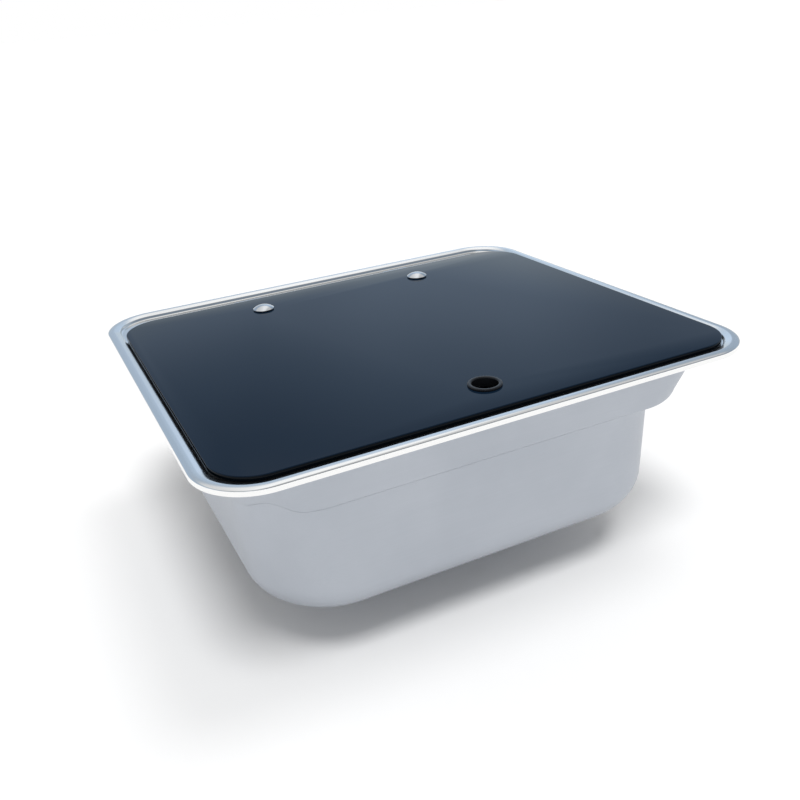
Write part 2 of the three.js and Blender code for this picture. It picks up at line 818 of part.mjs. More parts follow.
/** The turned and drilled dish that lies in the recess, with a hole for the screw in its middle. */
function strainer() {
  const neck = strainerNeckRadius;
  const wall = strainerSheet;
  const profile = [
    [wasteScrewRadius + touchGap, strainerFloor - wall],
    [neck - 3, strainerFloor - wall],
    [neck - 1, strainerFloor - wall + 2],
    [neck, strainerSeat - 1],
    [neck + 1, strainerSeat],
    [strainerFlangeRadius, strainerSeat],
    [strainerFlangeRadius, strainerTop - 0.4],
    [strainerFlangeRadius - 0.6, strainerTop],
    [neck + 0.4, strainerTop],
    [neck - wall, strainerSeat - 0.8],
    [neck - 1 - wall, strainerFloor + 2],
    [neck - 3 - 0.6 * wall, strainerFloor],
    [wasteScrewRadius + touchGap, strainerFloor],
  ];
  let solid = turned(profile, wasteX, wasteY);
  for (let i = 0; i < strainerHoles; i += 1) {
    const angle = (2 * Math.PI * i) / strainerHoles;
    const x = wasteX + strainerHolePitchRadius * Math.cos(angle);
    const y = wasteY + strainerHolePitchRadius * Math.sin(angle);
    solid = solid.subtract(bar("z", strainerHoleRadius, 4 * wall, x, y, strainerFloor, smallTurnSteps));
  }
  return solid;
}

/** The cup under the bowl, with a post for the screw and a barbed tail for the hose. */
function wasteCup() {
  const profile = [
    [0, cupFloor],
    [cupOuterRadius - 4, cupFloor],
    [cupOuterRadius - 1, cupFloor + 1.5],
    [cupOuterRadius, cupFloor + 4],
    [cupOuterRadius, cupTop - cupFlangeHeight],
    [cupFlangeRadius, cupTop - cupFlangeHeight],
    [cupFlangeRadius, cupTop],
    [cupBore, cupTop],
    [cupBore, cupFloor + cupWall + 3],
    [cupBore - 3, cupFloor + cupWall],
    [postRadius, cupFloor + cupWall],
    [postRadius, postTop],
    [0, postTop],
  ];
  const spoutZ = cupFloor + cupWall + spoutBore;
  const spoutEnd = wasteY + spoutReach;
  const inCup = wasteY + half(cupBore);
  const spout = turnedAlongY(spoutProfile(inCup, spoutEnd), wasteX, spoutZ);
  const cupInside = bar("z", cupBore, 2 * cupDepth, wasteX, wasteY, half(cupTop + cupFloor), turnSteps);
  const boreMiddle = inCup + half(spoutReach);
  const bore = bar("y", spoutBore, spoutReach, wasteX, boreMiddle, spoutZ, turnSteps);
  const screwHoleMiddle = postTop - half(wasteScrewLength);
  const screwBore = wasteScrewRadius + touchGap;
  const screwHole = bar("z", screwBore, wasteScrewLength + 2, wasteX, wasteY, screwHoleMiddle);
  return turned(profile, wasteX, wasteY)
    .add(spout.subtract(cupInside))
    .subtract(bore)
    .subtract(screwHole);
}

/** Outline of the hose tail, as [radius, distance along Y], with a row of barbs near its end. */
function spoutProfile(start, end) {
  const profile = [
    [0, start],
    [spoutRadius, start],
  ];
  const firstBarb = end - 3 - spoutBarbs * spoutBarbPitch;
  for (let i = 0; i < spoutBarbs; i += 1) {
    const y = firstBarb + i * spoutBarbPitch;
    profile.push([spoutRadius, y]);
    profile.push([spoutRadius + spoutBarbHeight, y + 0.6]);
    profile.push([spoutRadius, y + spoutBarbPitch - 1.5]);
  }
  profile.push([spoutRadius, end - 1]);
  profile.push([spoutRadius - 0.8, end]);
  profile.push([0, end]);
  return profile;
}

/** A solid turned about a line along Y, from [radius, y] points that start and end on the line. */
function turnedAlongY(profile, x, z) {
  const geometry = new THREE.LatheGeometry(profile.map(([r, y]) => new THREE.Vector2(r, y)), turnSteps);
  geometry.translate(x, 0, z);
  return solidOf(geometry);
}

/** The slotted screw that draws strainer and cup together. */
function wasteScrew() {
  const seat = strainerFloor + touchGap;
  const profile = [
    [0, seat - wasteScrewLength],
    [wasteScrewRadius - 0.5, seat - wasteScrewLength],
    [wasteScrewRadius, seat - wasteScrewLength + 0.5],
    [wasteScrewRadius, seat],
    [wasteScrewHeadRadius, seat],
    [wasteScrewHeadRadius - 0.6, seat + 0.7 * wasteScrewHeadHeight],
    [wasteScrewHeadRadius - 2.4, seat + wasteScrewHeadHeight],
    [0, seat + wasteScrewHeadHeight],
  ];
  const slotZ = seat + wasteScrewHeadHeight;
  const slot = block(
    wasteX - wasteScrewHeadRadius,
    wasteX + wasteScrewHeadRadius,
    wasteY - half(wasteScrewSlot),
    wasteY + half(wasteScrewSlot),
    slotZ - wasteScrewSlot,
    slotZ + wasteScrewSlot,
  );
  return turned(profile, wasteX, wasteY).subtract(slot);
}

const plugSeat = strainerTop + touchGap;
const plugTop = plugSeat + plugLipHeight;
const plugFoot = plugSeat - plugBodyHeight;

/** The rubber plug: a tapered body in the strainer's mouth and a lip on its rim. */
function plugDisc() {
  const neck = strainerNeckRadius - strainerSheet - touchGap;
  const bore = plugStemRadius + touchGap;
  return turned(
    [
      [0, plugFoot],
      [neck - plugTaper - 1.2, plugFoot],
      [neck - plugTaper - 0.4, plugFoot + 0.8],
      [neck - 0.3, plugSeat],
      [plugLipRadius, plugSeat],
      [plugLipRadius, plugTop - 0.6],
      [plugLipRadius - 0.8, plugTop],
      [bore, plugTop],
      [bore, plugTop - plugStemDepth - touchGap],
      [0, plugTop - plugStemDepth - touchGap],
    ],
    wasteX,
    wasteY,
  );
}

/** The knob that lifts the plug, with its stem pressed into the rubber. */
function plugKnob() {
  const top = plugTop + plugStemHeight + plugKnobHeight;
  return turned(
    [
      [0, plugTop - plugStemDepth],
      [plugStemRadius, plugTop - plugStemDepth],
      [plugStemRadius, plugTop],
      [plugCollarRadius, plugTop],
      [plugCollarRadius, plugTop + 1],
      [plugStemRadius, plugTop + 1.6],
      [plugStemRadius, plugTop + plugStemHeight],
      [plugKnobRadius - 1, plugTop + plugStemHeight],
      [plugKnobRadius, plugTop + plugStemHeight + 0.9],
      [plugKnobRadius, top - 1.2],
      [plugKnobRadius - 1.2, top - 0.2],
      [0, top],
    ],
    wasteX,
    wasteY,
  );
}

// ---------------------------------------------------------------- the assembly

const sink = new THREE.Group();
const lid = new THREE.Group();
const waste = new THREE.Group();
sink.add(lid, waste);

function put(group, name, solid, material) {
  const mesh = new THREE.Mesh(geometryOf(solid), material);
  mesh.name = name;
  group.add(mesh);
}

const rivetCuts = hingeX.flatMap((x) =>
  [-1, 1].flatMap((side) => [rivetHole(x, side), rivetSeat(x, side)]),
);
const pressing = rivetCuts.reduce((solid, cut) => solid.subtract(cut), sinkPressing());
put(sink, "sink_pressing", pressing, finishes.pressing());
put(sink, "rim_seal", rimSeal(), finishes.foam());
put(sink, "lid_seal", sealFrontRun(), finishes.blackRubber());
put(sink, "lid_seal_back", sealBackStrip(), finishes.blackRubber());

put(lid, "glass_lid", glassLid(), finishes.smokedGlass());
put(lid, "finger_collar", fingerCollar(), finishes.blackPlastic());
put(lid, "finger_nut", fingerNut(), finishes.blackPlastic());

for (const [x, side] of [[hingeX[0], "left"], [hingeX[1], "right"]]) {
  put(lid, `hinge_cap_${side}`, hingeCap(x), finishes.polished());
  put(lid, `glass_bush_${side}`, glassBush(x), finishes.blackPlastic());
  put(lid, `leaf_pad_${side}`, leafPad(x), finishes.fibre());
  put(lid, `hinge_leaf_${side}`, hingeLeaf(x), finishes.brushed());
  put(lid, `clamp_nut_${side}`, clampNut(x), finishes.brushed());
  put(sink, `hinge_base_${side}`, hingeBase(x), finishes.brushed());
  put(sink, `hinge_pin_${side}`, hingePin(x), finishes.polished());
  put(sink, `base_rivet_${side}_inner`, baseRivet(x, x < 0 ? 1 : -1), finishes.brushed());
  put(sink, `base_rivet_${side}_outer`, baseRivet(x, x < 0 ? -1 : 1), finishes.brushed());
}

const upperGasket = gasket(strainerFlangeRadius, recessFloor, strainerSeat);
const lowerGasket = gasket(cupFlangeRadius, cupTop, pressingUnder);
put(waste, "waste_gasket_upper", upperGasket, finishes.blackRubber());
put(waste, "waste_strainer", strainer(), finishes.polished());
put(waste, "waste_gasket_lower", lowerGasket, finishes.blackRubber());
put(waste, "waste_cup", wasteCup(), finishes.blackPlastic());
put(waste, "waste_screw", wasteScrew(), finishes.brushed());
put(waste, "plug_disc", plugDisc(), finishes.blackRubber());
put(waste, "plug_knob", plugKnob(), finishes.polished());

export default sink;
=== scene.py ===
import bmesh
import bpy
import numpy as np
from mathutils import Matrix, Vector


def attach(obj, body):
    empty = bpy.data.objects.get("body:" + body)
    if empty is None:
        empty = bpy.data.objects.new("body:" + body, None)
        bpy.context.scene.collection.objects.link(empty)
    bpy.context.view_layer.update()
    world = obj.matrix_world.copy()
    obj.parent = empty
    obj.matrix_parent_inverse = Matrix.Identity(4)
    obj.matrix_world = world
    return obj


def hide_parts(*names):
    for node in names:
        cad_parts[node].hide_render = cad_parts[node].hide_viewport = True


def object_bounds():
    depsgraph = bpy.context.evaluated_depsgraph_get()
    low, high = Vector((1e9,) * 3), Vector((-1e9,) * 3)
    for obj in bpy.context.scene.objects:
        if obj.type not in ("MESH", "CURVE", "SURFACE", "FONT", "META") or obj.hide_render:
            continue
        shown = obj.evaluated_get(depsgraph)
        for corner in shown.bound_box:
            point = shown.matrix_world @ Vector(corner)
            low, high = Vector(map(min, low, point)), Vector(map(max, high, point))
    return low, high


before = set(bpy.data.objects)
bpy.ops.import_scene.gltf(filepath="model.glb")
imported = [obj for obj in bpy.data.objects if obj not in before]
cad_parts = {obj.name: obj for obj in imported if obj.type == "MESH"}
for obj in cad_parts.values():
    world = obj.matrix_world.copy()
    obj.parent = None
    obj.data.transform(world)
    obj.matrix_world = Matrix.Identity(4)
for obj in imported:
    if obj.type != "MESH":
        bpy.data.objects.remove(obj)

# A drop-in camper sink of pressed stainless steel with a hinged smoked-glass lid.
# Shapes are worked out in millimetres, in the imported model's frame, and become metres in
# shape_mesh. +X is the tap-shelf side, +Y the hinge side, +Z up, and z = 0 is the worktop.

CAD_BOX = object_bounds()
MM = 0.001
MERGE, DEGENERATE = 1e-6, 1e-7  # metres: points this close are one, edges this short are none

# ------------------------------------------------------------------ sizes

# Millimetres. Round things, such as holes, caps and bores, are given by their radius, and the
# edges of a rounded rectangle stand in the order left, right, front, back.
SHEET = 0.9
RIM = np.array([-210.0, 210.0, -185.0, 185.0])
RIM_CORNER = 43.0
BEAD_LIP = 3.3
BEAD_CREST, BEAD_CREST_INSET, BEAD_CREST_FLAT = 4.75, 4.3, 1.4
BEAD_SHOULDER = (10.3, 3.37)  # inset and height where the gentle inner slope turns down
BEAD_FOOT, BEAD_FOOT_RUN = 11.15, 2.0

TRAY = np.array([-181.5, 187.7, -162.5, 138.5])
TRAY_MOUTH = 4.0
TRAY_CORNER = 37.0
TRAY_FOOT = TRAY + np.array([2.0, -9.0, 2.0, -2.0])
TRAY_FOOT_CORNER = 53.0
TRAY_DEPTH = 36.8
FOOT_ROUND, FOOT_ROUND_RIGHT = 1.2, 5.0
CORNER_LIFT, CORNER_LIFT_SPAN = 6.5, 0.56
TAP_HOLE = 17.5

BOWL = TRAY_FOOT + np.array([2.6, -12.0, 2.6, -2.6])
BOWL_CORNERS = np.array([65.0, 76.0, 182.0, 65.0])  # front left, front right, tap side, back left
BOWL_FOOT = BOWL + np.array([3.5, -1.5, 1.5, -1.5])
EDGE_ROUND, EDGE_ROUND_RIGHT = 1.3, 3.0
BOWL_DEPTH = 132.2
FLOOR_ROUND = 27.0
WASTE = np.array([BOWL[:2].mean(), BOWL[2:].mean()])
RECESS_TOP = -133.7
RECESS_FLOOR = -137.2
WASTE_HOLE = 21.0

GLASS = np.array([-197.7, 197.7, -172.7, 150.7])
GLASS_CORNER = 31.5
GLASS_UNDER, GLASS_TOP = 2.4, 6.4
FINGER_HOLE = (-0.8, -138.4)
FINGER_BORE, STUD_BORE = 10.5, 4.1
GROMMET_BORE, GROMMET_SLEEVE, GROMMET_COLLAR = 9.2, 10.1, 12.05
GROMMET_FOOT, GROMMET_TOP = 1.0, 8.3
HINGE_X = (-75.8, 80.2)
CAP_Y = 116.0
CAP_SEAT = GLASS_TOP + 0.8
CAP_RADIUS, CAP_EDGE, CAP_RISE = 9.3, 0.5, 3.2
LEAF_TOP, LEAF_UNDER = 2.1, 1.2
LEAF_REACH = 11.0  # from the stud to either side of the leaf
PAD_END = 150.2
PIVOT_Y, PIVOT_Z = 154.1, 3.3
EYE_OUTER, EYE_INNER = 2.1, 1.2
STUD, PIN = 2.5, 0.95
GAP = 0.3
BASE_FRONT, BASE_BACK, BASE_TOP = 156.5, 166.5, 1.9
LUG_REACH, LUG_HALF = 12.8, 1.5
RIVET_Y, RIVET_REACH = 160.5, 8.8
RIVET_SEAT, RIVET_SEAT_DEPTH, RIVET_HOLE = 2.9, 0.45, 1.9
RIVETS = [(hinge + side * RIVET_REACH, RIVET_Y) for hinge in HINGE_X for side in (-1, 1)]

# ------------------------------------------------------------------ shape tools


def grid_faces(rows, columns, close_rows=True):
    """Quads of a grid of points: each joins a point to the next along its row, along its
    column and across. The last point of a row is joined to its first, and where the rows are
    closed the last row to the first."""
    row = np.arange(rows if close_rows else rows - 1)[:, None]
    column = np.arange(columns)[None, :]
    above, beside = (row + 1) % rows, (column + 1) % columns
    corners = [row * columns + column, row * columns + beside,
               above * columns + beside, above * columns + column]
    return np.stack(corners, -1).reshape(-1, 4).tolist()


def shape_mesh(name, points, faces, inner=0):
    """A mesh in metres from points in millimetres, with doubled points merged, so that poles
    and seams are closed, and with its faces turned outwards. The first faces, as many as inner
    says, are marked by the attribute "inner"."""
    mesh = bpy.data.meshes.new(name)
    mesh.from_pydata(np.asarray(points).reshape(-1, 3) * MM, [], faces)
    if inner:
        marks = mesh.attributes.new("inner", "FLOAT", "FACE")
        marks.data.foreach_set("value", (np.arange(len(faces)) < inner).astype(float))
    work = bmesh.new()
    work.from_mesh(mesh)
    bmesh.ops.remove_doubles(work, verts=work.verts, dist=MERGE)
    bmesh.ops.dissolve_degenerate(work, dist=DEGENERATE, edges=work.edges)
    bmesh.ops.recalc_face_normals(work, faces=work.faces)
    work.to_mesh(mesh)
    work.free()
    return mesh


def arc(start, end, steps):
    """Angles in radians from start to end degrees, ends included."""
    return np.radians(np.linspace(start, end, steps + 1))


CORNER_EDGES = np.array([[0, 2], [1, 2], [1, 3], [0, 3]])
CORNER_SIGNS = np.array([[1, 1], [-1, 1], [-1, -1], [1, -1]])
CORNER_STARTS = np.radians([180, 270, 0, 90])


def rounded_rectangles(edges, radii, steps):
    """Loops of points, one for each row of edges: from the front-left corner's arc round
    counter-clockwise, a corner's points are its centre + radius * (cos a, sin a)."""
    angles = CORNER_STARTS[:, None] + arc(0, 90, steps)[None, :]
    unit = np.stack([np.cos(angles), np.sin(angles)], -1)
    centres = edges[:, CORNER_EDGES] + CORNER_SIGNS * radii[..., None]
    points = centres[:, :, None, :] + radii[:, :, None, None] * unit
    return points.reshape(len(edges), -1, 2)


def inset(edges, d):
    """Edges moved in by each d."""
    return edges + np.asarray(d)[..., None] * np.array([1, -1, 1, -1])


ALMOST_STRAIGHT = np.radians(89)  # half of a corner's angle past which it is left alone
SIDE_SHARE = 0.48  # an arc takes at most this much of the shorter side


def eased(points, radii, steps=6, closed=True):
    """An outline whose corners are arcs. The arc of radius r leaves each side r / tan(half the
    corner's angle) from the corner, and its points turn evenly between the two sides."""
    points = np.asarray(points, float)
    radii = np.broadcast_to(radii, len(points))
    out = []
    for i, corner in enumerate(points):
        inner = closed or 0 < i < len(points) - 1
        if not inner or radii[i] <= 0:
            out.append(corner[None])
            continue
        before = points[i - 1] - corner
        after = points[(i + 1) % len(points)] - corner
        lengths = np.linalg.norm(before), np.linalg.norm(after)
        u, v = before / lengths[0], after / lengths[1]
        half = np.arccos(np.clip(u @ v, -1, 1)) / 2
        if half > ALMOST_STRAIGHT:
            out.append(corner[None])
            continue
        reach = min(radii[i] / np.tan(half), SIDE_SHARE * min(lengths))
        radius = reach * np.tan(half)
        middle = corner + (u + v) / np.linalg.norm(u + v) * radius / np.sin(half)
        first, last = corner + u * reach - middle, corner + v * reach - middle
        t = np.linspace(0, 1, steps + 1)[:, None]
        span = np.pi - 2 * half
        out.append(middle + (np.sin((1 - t) * span) * first + np.sin(t * span) * last) / np.sin(span))
    return np.concatenate(out)


def turned(name, profile, centre, axis="z", steps=72):
    """A surface of revolution: each [radius, along] point of the profile becomes a ring
    radius * (cos a, sin a) round a line along the axis through the centre."""
    profile = np.asarray(profile, float)
    a = np.linspace(0, 2 * np.pi, steps, endpoint=False)[None, :]
    r, along = profile[:, :1], profile[:, 1:] + 0 * a
    first, second = r * np.cos(a), r * np.sin(a)
    order = {"z": (first, second, along), "x": (along, first, second), "y": (first, along, second)}
    points = np.stack(order[axis], -1) + np.asarray(centre, float)
    on_axis = profile[0, 0] == 0 and profile[-1, 0] == 0
    return shape_mesh(name, points, grid_faces(len(profile), steps, close_rows=not on_axis))


def prism(name, outline, axis, start, end):
    """A flat outline carried from start to end along an axis, its two ends closed."""
    outline = np.asarray(outline, float)
    n = len(outline)
    order = {"z": (0, 1, 2), "x": (2, 0, 1)}[axis]
    points = [np.c_[outline, np.full(n, level)][:, order] for level in (start, end)]
    faces = grid_faces(2, n, close_rows=False) + [list(range(n)), list(range(n, 2 * n))]
    return shape_mesh(name, np.concatenate(points), faces)


def round_tool(x, y, z, radius, length, axis="z"):
    """A plain round bar for drilling, its middle at x, y, z."""
    end = length / 2
    return turned("drill", [[0, -end], [radius, -end], [radius, end], [0, end]], (x, y, z), axis, 96)


def combined(mesh, tools, operation):
    """The mesh with each tool taken away (DIFFERENCE), added (UNION) or kept in common
    (INTERSECT)."""
    piece = bpy.data.objects.new("work", mesh)
    bpy.context.scene.collection.objects.link(piece)
    helpers = []
    for tool in tools:
        helper = bpy.data.objects.new("tool", tool)
        bpy.context.scene.collection.objects.link(helper)
        step = piece.modifiers.new("step", "BOOLEAN")
        step.operation, step.object, step.solver = operation, helper, "EXACT"
        helpers.append(helper)
    bpy.context.view_layer.update()
    result = piece.evaluated_get(bpy.context.evaluated_depsgraph_get())
    done = bpy.data.meshes.new_from_object(result)
    for spare in [piece, *helpers]:
        bpy.data.objects.remove(spare)
    return done


def put(name, mesh, body, slot, finish, *nodes, sharp=32.0, ease=0.0):
    """Puts a piece into the scene: its mesh at the origin, its finish, the body it moves with
    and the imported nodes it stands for. Edges that turn by more than sharp degrees stay crisp,
    or are eased by a narrow bevel."""
    piece = bpy.data.objects.new(name, mesh)
    bpy.context.scene.collection.objects.link(piece)
    mesh.materials.clear()
    mesh.materials.append(finish)
    mesh.shade_smooth()
    mesh.set_sharp_from_angle(angle=np.radians(sharp))
    if ease:
        bevel = piece.modifiers.new("eased edges", "BEVEL")
        bevel.width, bevel.segments, bevel.limit_method = ease * MM, 2, "ANGLE"
        bevel.angle_limit, bevel.harden_normals = np.radians(sharp), True
    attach(piece, body)
    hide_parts(*nodes)


# ------------------------------------------------------------------ finishes


def feed(tree, socket, value):
    """Links a value that is a socket, or sets a plain one."""
    if isinstance(value, bpy.types.NodeSocket):
        tree.links.new(value, socket)
    else:
        socket.default_value = value


def add(tree, kind, settings=(), **inputs):
    """A node with its settings, and with each named input linked or set."""
    made = tree.nodes.new(kind)
    for key, value in dict(settings).items():
        setattr(made, key, value)
    for key, value in inputs.items():
        feed(tree, made.inputs[key.replace("_", " ")], value)
    return made


def of_two(tree, kind, settings, first, second):
    """The outputs of a node that works on two values, such as a sum or a product."""
    made = add(tree, kind, settings)
    feed(tree, made.inputs[0], first)
    feed(tree, made.inputs[1], second)
    return made.outputs


def ranged(tree, value, start, end, low=0.0, high=1.0, way="LINEAR"):
    """The value carried from the range start to end onto low to high, and kept within."""
    made = add(tree, "ShaderNodeMapRange", {"interpolation_type": way}, Value=value, From_Min=start,
               From_Max=end, To_Min=low, To_Max=high)
    return made.outputs["Result"]


# Where a Mix node has its first value, its second and its result, for each kind of data.
MIX_PLACES = {"FLOAT": (2, 3, 0), "RGBA": (6, 7, 2)}


def mixed(tree, kind, share, first, second):
    """The first value at share 0 and the second at share 1."""
    made = add(tree, "ShaderNodeMix", {"data_type": kind})
    at_first, at_second, result = MIX_PLACES[kind]
    for place, value in ((0, share), (at_first, first), (at_second, second)):
        feed(tree, made.inputs[place], value)
    return made.outputs[result]


def effect(name, inputs, outputs):
    """An empty shader node group with named sockets, and its two end nodes."""
    tree = bpy.data.node_groups.new(name, "ShaderNodeTree")
    for label, kind, value in inputs:
        socket = tree.interface.new_socket(label, in_out="INPUT", socket_type=kind)
        if value is not None:
            socket.default_value = value
    for label, kind in outputs:
        tree.interface.new_socket(label, in_out="OUTPUT", socket_type=kind)
    return tree, tree.nodes.new("NodeGroupInput"), tree.nodes.new("NodeGroupOutput")


def make_grain():
    """Rolling grain of sheet metal: noise stretched along X, mixed with a slow mottle. The
    roughness follows both, the height the grain alone."""
    tree, given, result = effect(
        "rolled grain",
        [("Vector", "NodeSocketVector", None), ("Along", "NodeSocketFloat", 18.0),
         ("Across", "NodeSocketFloat", 900.0), ("Low", "NodeSocketFloat", 0.3),
         ("High", "NodeSocketFloat", 0.4)],
        [("Roughness", "NodeSocketFloat"), ("Height", "NodeSocketFloat"), ("Mottle", "NodeSocketFloat")],
    )
    scale = add(tree, "ShaderNodeCombineXYZ", X=given.outputs["Along"], Y=given.outputs["Across"],
                Z=given.outputs["Across"])
    stretched = of_two(tree, "ShaderNodeVectorMath", {"operation": "MULTIPLY"}, given.outputs["Vector"],
                       scale.outputs["Vector"])["Vector"]
    lines = add(tree, "ShaderNodeTexNoise", Vector=stretched, Scale=1.0, Detail=3.0, Roughness=0.6)
    slow = add(tree, "ShaderNodeTexNoise", Vector=given.outputs["Vector"], Scale=14.0, Detail=3.0)
    both = mixed(tree, "FLOAT", 0.45, lines.outputs["Fac"], slow.outputs["Fac"])
    rough = ranged(tree, both, 0.3, 0.7, given.outputs["Low"], given.outputs["High"])
    tree.links.new(rough, result.inputs["Roughness"])
    tree.links.new(lines.outputs["Fac"], result.inputs["Height"])
    tree.links.new(slow.outputs["Fac"], result.inputs["Mottle"])
    return tree


def make_speckle():
    """Fine moulded or cellular texture: the height is a fine noise, and the roughness and the
    mask follow a slow one."""
    tree, given, result = effect(
        "fine texture",
        [("Vector", "NodeSocketVector", None), ("Scale", "NodeSocketFloat", 1500.0),
         ("Low", "NodeSocketFloat", 0.3), ("High", "NodeSocketFloat", 0.5)],
        [("Roughness", "NodeSocketFloat"), ("Height", "NodeSocketFloat"), ("Mask", "NodeSocketFloat")],
    )
    grain = add(tree, "ShaderNodeTexNoise", Vector=given.outputs["Vector"], Scale=given.outputs["Scale"],
                Detail=2.0)
    slow = add(tree, "ShaderNodeTexNoise", Vector=given.outputs["Vector"], Scale=60.0, Detail=3.0)
    rough = ranged(tree, slow.outputs["Fac"], 0.3, 0.7, given.outputs["Low"], given.outputs["High"])
    tree.links.new(rough, result.inputs["Roughness"])
    tree.links.new(grain.outputs["Fac"], result.inputs["Height"])
    tree.links.new(slow.outputs["Fac"], result.inputs["Mask"])
    return tree


def make_second_look():
    """A second look past a level: the colour passes to the bright one, and the roughness to
    its smooth share. How far is (z - start) / (end - start), smoothed and kept within 0 and 1."""
    tree, given, result = effect(
        "second look",
        [("Vector", "NodeSocketVector", None), ("Color", "NodeSocketColor", None),
         ("Roughness", "NodeSocketFloat", 0.4), ("Bright", "NodeSocketColor", None),
         ("Smooth", "NodeSocketFloat", 0.45), ("Start", "NodeSocketFloat", -0.005),
         ("End", "NodeSocketFloat", -0.001)],
        [("Color", "NodeSocketColor"), ("Roughness", "NodeSocketFloat")],
    )
    height = add(tree, "ShaderNodeSeparateXYZ", Vector=given.outputs["Vector"]).outputs["Z"]
    share = ranged(tree, height, given.outputs["Start"], given.outputs["End"], way="SMOOTHSTEP")
    colour = mixed(tree, "RGBA", share, given.outputs["Color"], given.outputs["Bright"])
    smooth = of_two(tree, "ShaderNodeMath", {"operation": "MULTIPLY"}, given.outputs["Roughness"],
                    given.outputs["Smooth"])["Value"]
    rough = mixed(tree, "FLOAT", share, given.outputs["Roughness"], smooth)
    tree.links.new(colour, result.inputs["Color"])
    tree.links.new(rough, result.inputs["Roughness"])
    return tree


GRAIN, SPECKLE, SECOND_LOOK = make_grain(), make_speckle(), make_second_look()


def finish_of(name, group, values, colours, bump, constants, over=None, inner=None):
    """A material: the group's roughness and height, its mask mixing two near colours. The
    bump has a strength and a distance in millimetres. Values for the group "second look" lay
    another look over it: inner on faces that the attribute of that name marks, and over above a
    height in Object coordinates."""
    material = bpy.data.materials.new(name)
    material.use_nodes = True
    tree = material.node_tree
    shader = next(n for n in tree.nodes if n.type == "BSDF_PRINCIPLED")
    place = add(tree, "ShaderNodeTexCoord")
    texture = add(tree, "ShaderNodeGroup", {"node_tree": group}, Vector=place.outputs["Object"], **values)
    mask = texture.outputs["Mottle" if group is GRAIN else "Mask"]
    spread = ranged(tree, mask, 0.35, 0.65)
    colour = mixed(tree, "RGBA", spread, (*colours[0], 1), (*colours[1], 1))
    relief = add(tree, "ShaderNodeBump", Strength=bump[0], Distance=bump[1] * MM,
                 Height=texture.outputs["Height"])
    look = {"Base Color": colour, "Roughness": texture.outputs["Roughness"]}
    marks = add(tree, "ShaderNodeAttribute", {"attribute_name": "inner"})
    for source, laid in ((marks.outputs["Vector"], inner), (place.outputs["Object"], over)):
        if laid:
            second = add(tree, "ShaderNodeGroup", {"node_tree": SECOND_LOOK}, Vector=source,
                         Color=look["Base Color"], Roughness=look["Roughness"], **laid)
            look = {"Base Color": second.outputs["Color"], "Roughness": second.outputs["Roughness"]}
    look["Normal"] = relief.outputs["Normal"]
    for socket, value in {**look, **constants}.items():
        feed(tree, shader.inputs[socket], value)
    return material


# Painted shade and highlight: the outer skin's dark, cool-tinted colour is painted shade with a painted
# reflection of a cool sky. From about 5 mm under the worktop upwards, the rim is painted far brighter as
# a painted highlight. The faces of the upper side get a lighter steel colour. The smoother roughness
# there and on the rim is their finish.
PRESSED_STEEL_PAINTED_LIGHT = finish_of(
    "pressed steel with painted shade and highlight", GRAIN, {"Low": 0.38, "High": 0.5},
    ((0.435, 0.463, 0.508), (0.475, 0.503, 0.548)), (0.05, 0.05), {"Metallic": 1.0},
    over={"Bright": (0.895, 0.895, 0.89, 1), "Smooth": 0.42},
    inner={"Bright": (0.66, 0.67, 0.69, 1), "Smooth": 0.85, "Start": 0.0, "End": 1.0})
POLISHED_STEEL = finish_of(
    "polished steel", GRAIN, {"Along": 60.0, "Across": 300.0, "Low": 0.12, "High": 0.2},
    ((0.72, 0.735, 0.75), (0.78, 0.79, 0.80)), (0.02, 0.03), {"Metallic": 1.0})
BRUSHED_STEEL = finish_of(
    "brushed steel", GRAIN, {"Along": 90.0, "Across": 1600.0, "Low": 0.28, "High": 0.42},
    ((0.58, 0.60, 0.62), (0.66, 0.67, 0.69)), (0.12, 0.05), {"Metallic": 1.0})
# Painted reflection: from 5.2 mm up, the pane's top face is tinted blue as a painted reflection of a cool
# sky. The rest of the pane is near-black glass.
SMOKED_GLASS_PAINTED_REFLECTION = finish_of(
    "smoked glass with painted sky reflection", SPECKLE, {"Scale": 40.0, "Low": 0.03, "High": 0.06},
    ((0.0025, 0.0045, 0.007), (0.003, 0.005, 0.008)), (0.0, 0.02), {"IOR": 1.23},
    over={"Bright": (0.004, 0.0125, 0.028, 1), "Smooth": 1.0, "Start": 0.0052, "End": 0.0063})
BLACK_PLASTIC = finish_of(
    "black plastic", SPECKLE, {"Scale": 1400.0, "Low": 0.24, "High": 0.34},
    ((0.006, 0.0065, 0.008), (0.009, 0.010, 0.012)), (0.06, 0.05), {"IOR": 1.4})
BLACK_RUBBER = finish_of(
    "black rubber", SPECKLE, {"Scale": 2200.0, "Low": 0.55, "High": 0.7},
    ((0.005, 0.005, 0.006), (0.009, 0.009, 0.010)), (0.2, 0.08), {"IOR": 1.25})
FOAM = finish_of(
    "seal foam", SPECKLE, {"Scale": 1100.0, "Low": 0.85, "High": 0.95},
    ((0.035, 0.036, 0.038), (0.055, 0.056, 0.06)), (0.6, 0.3), {})
FIBRE = finish_of(
    "fibre pad", SPECKLE, {"Scale": 1800.0, "Low": 0.75, "High": 0.9},
    ((0.05, 0.05, 0.055), (0.08, 0.08, 0.085)), (0.3, 0.1), {})

# ------------------------------------------------------------------ the pressing


def station_rows(edges, side, right, radii, z_side, z_right, lean, lift=0.0):
    """Rows of the pressing's section, as [4 edges, 4 radii, z at the sides, z at the right
    end, lean in radians, lift of the two left corners]."""
    side, right, lean = np.broadcast_arrays(np.asarray(side, float), right, lean)
    n = len(side)
    moved = np.asarray(edges) + np.stack([side, -right, side, -side], -1)
    rest = [np.broadcast_to(v, n)[:, None] for v in (z_side, z_right, lean, lift)]
    return np.hstack([moved, np.broadcast_to(radii, (n, 4)), *rest])


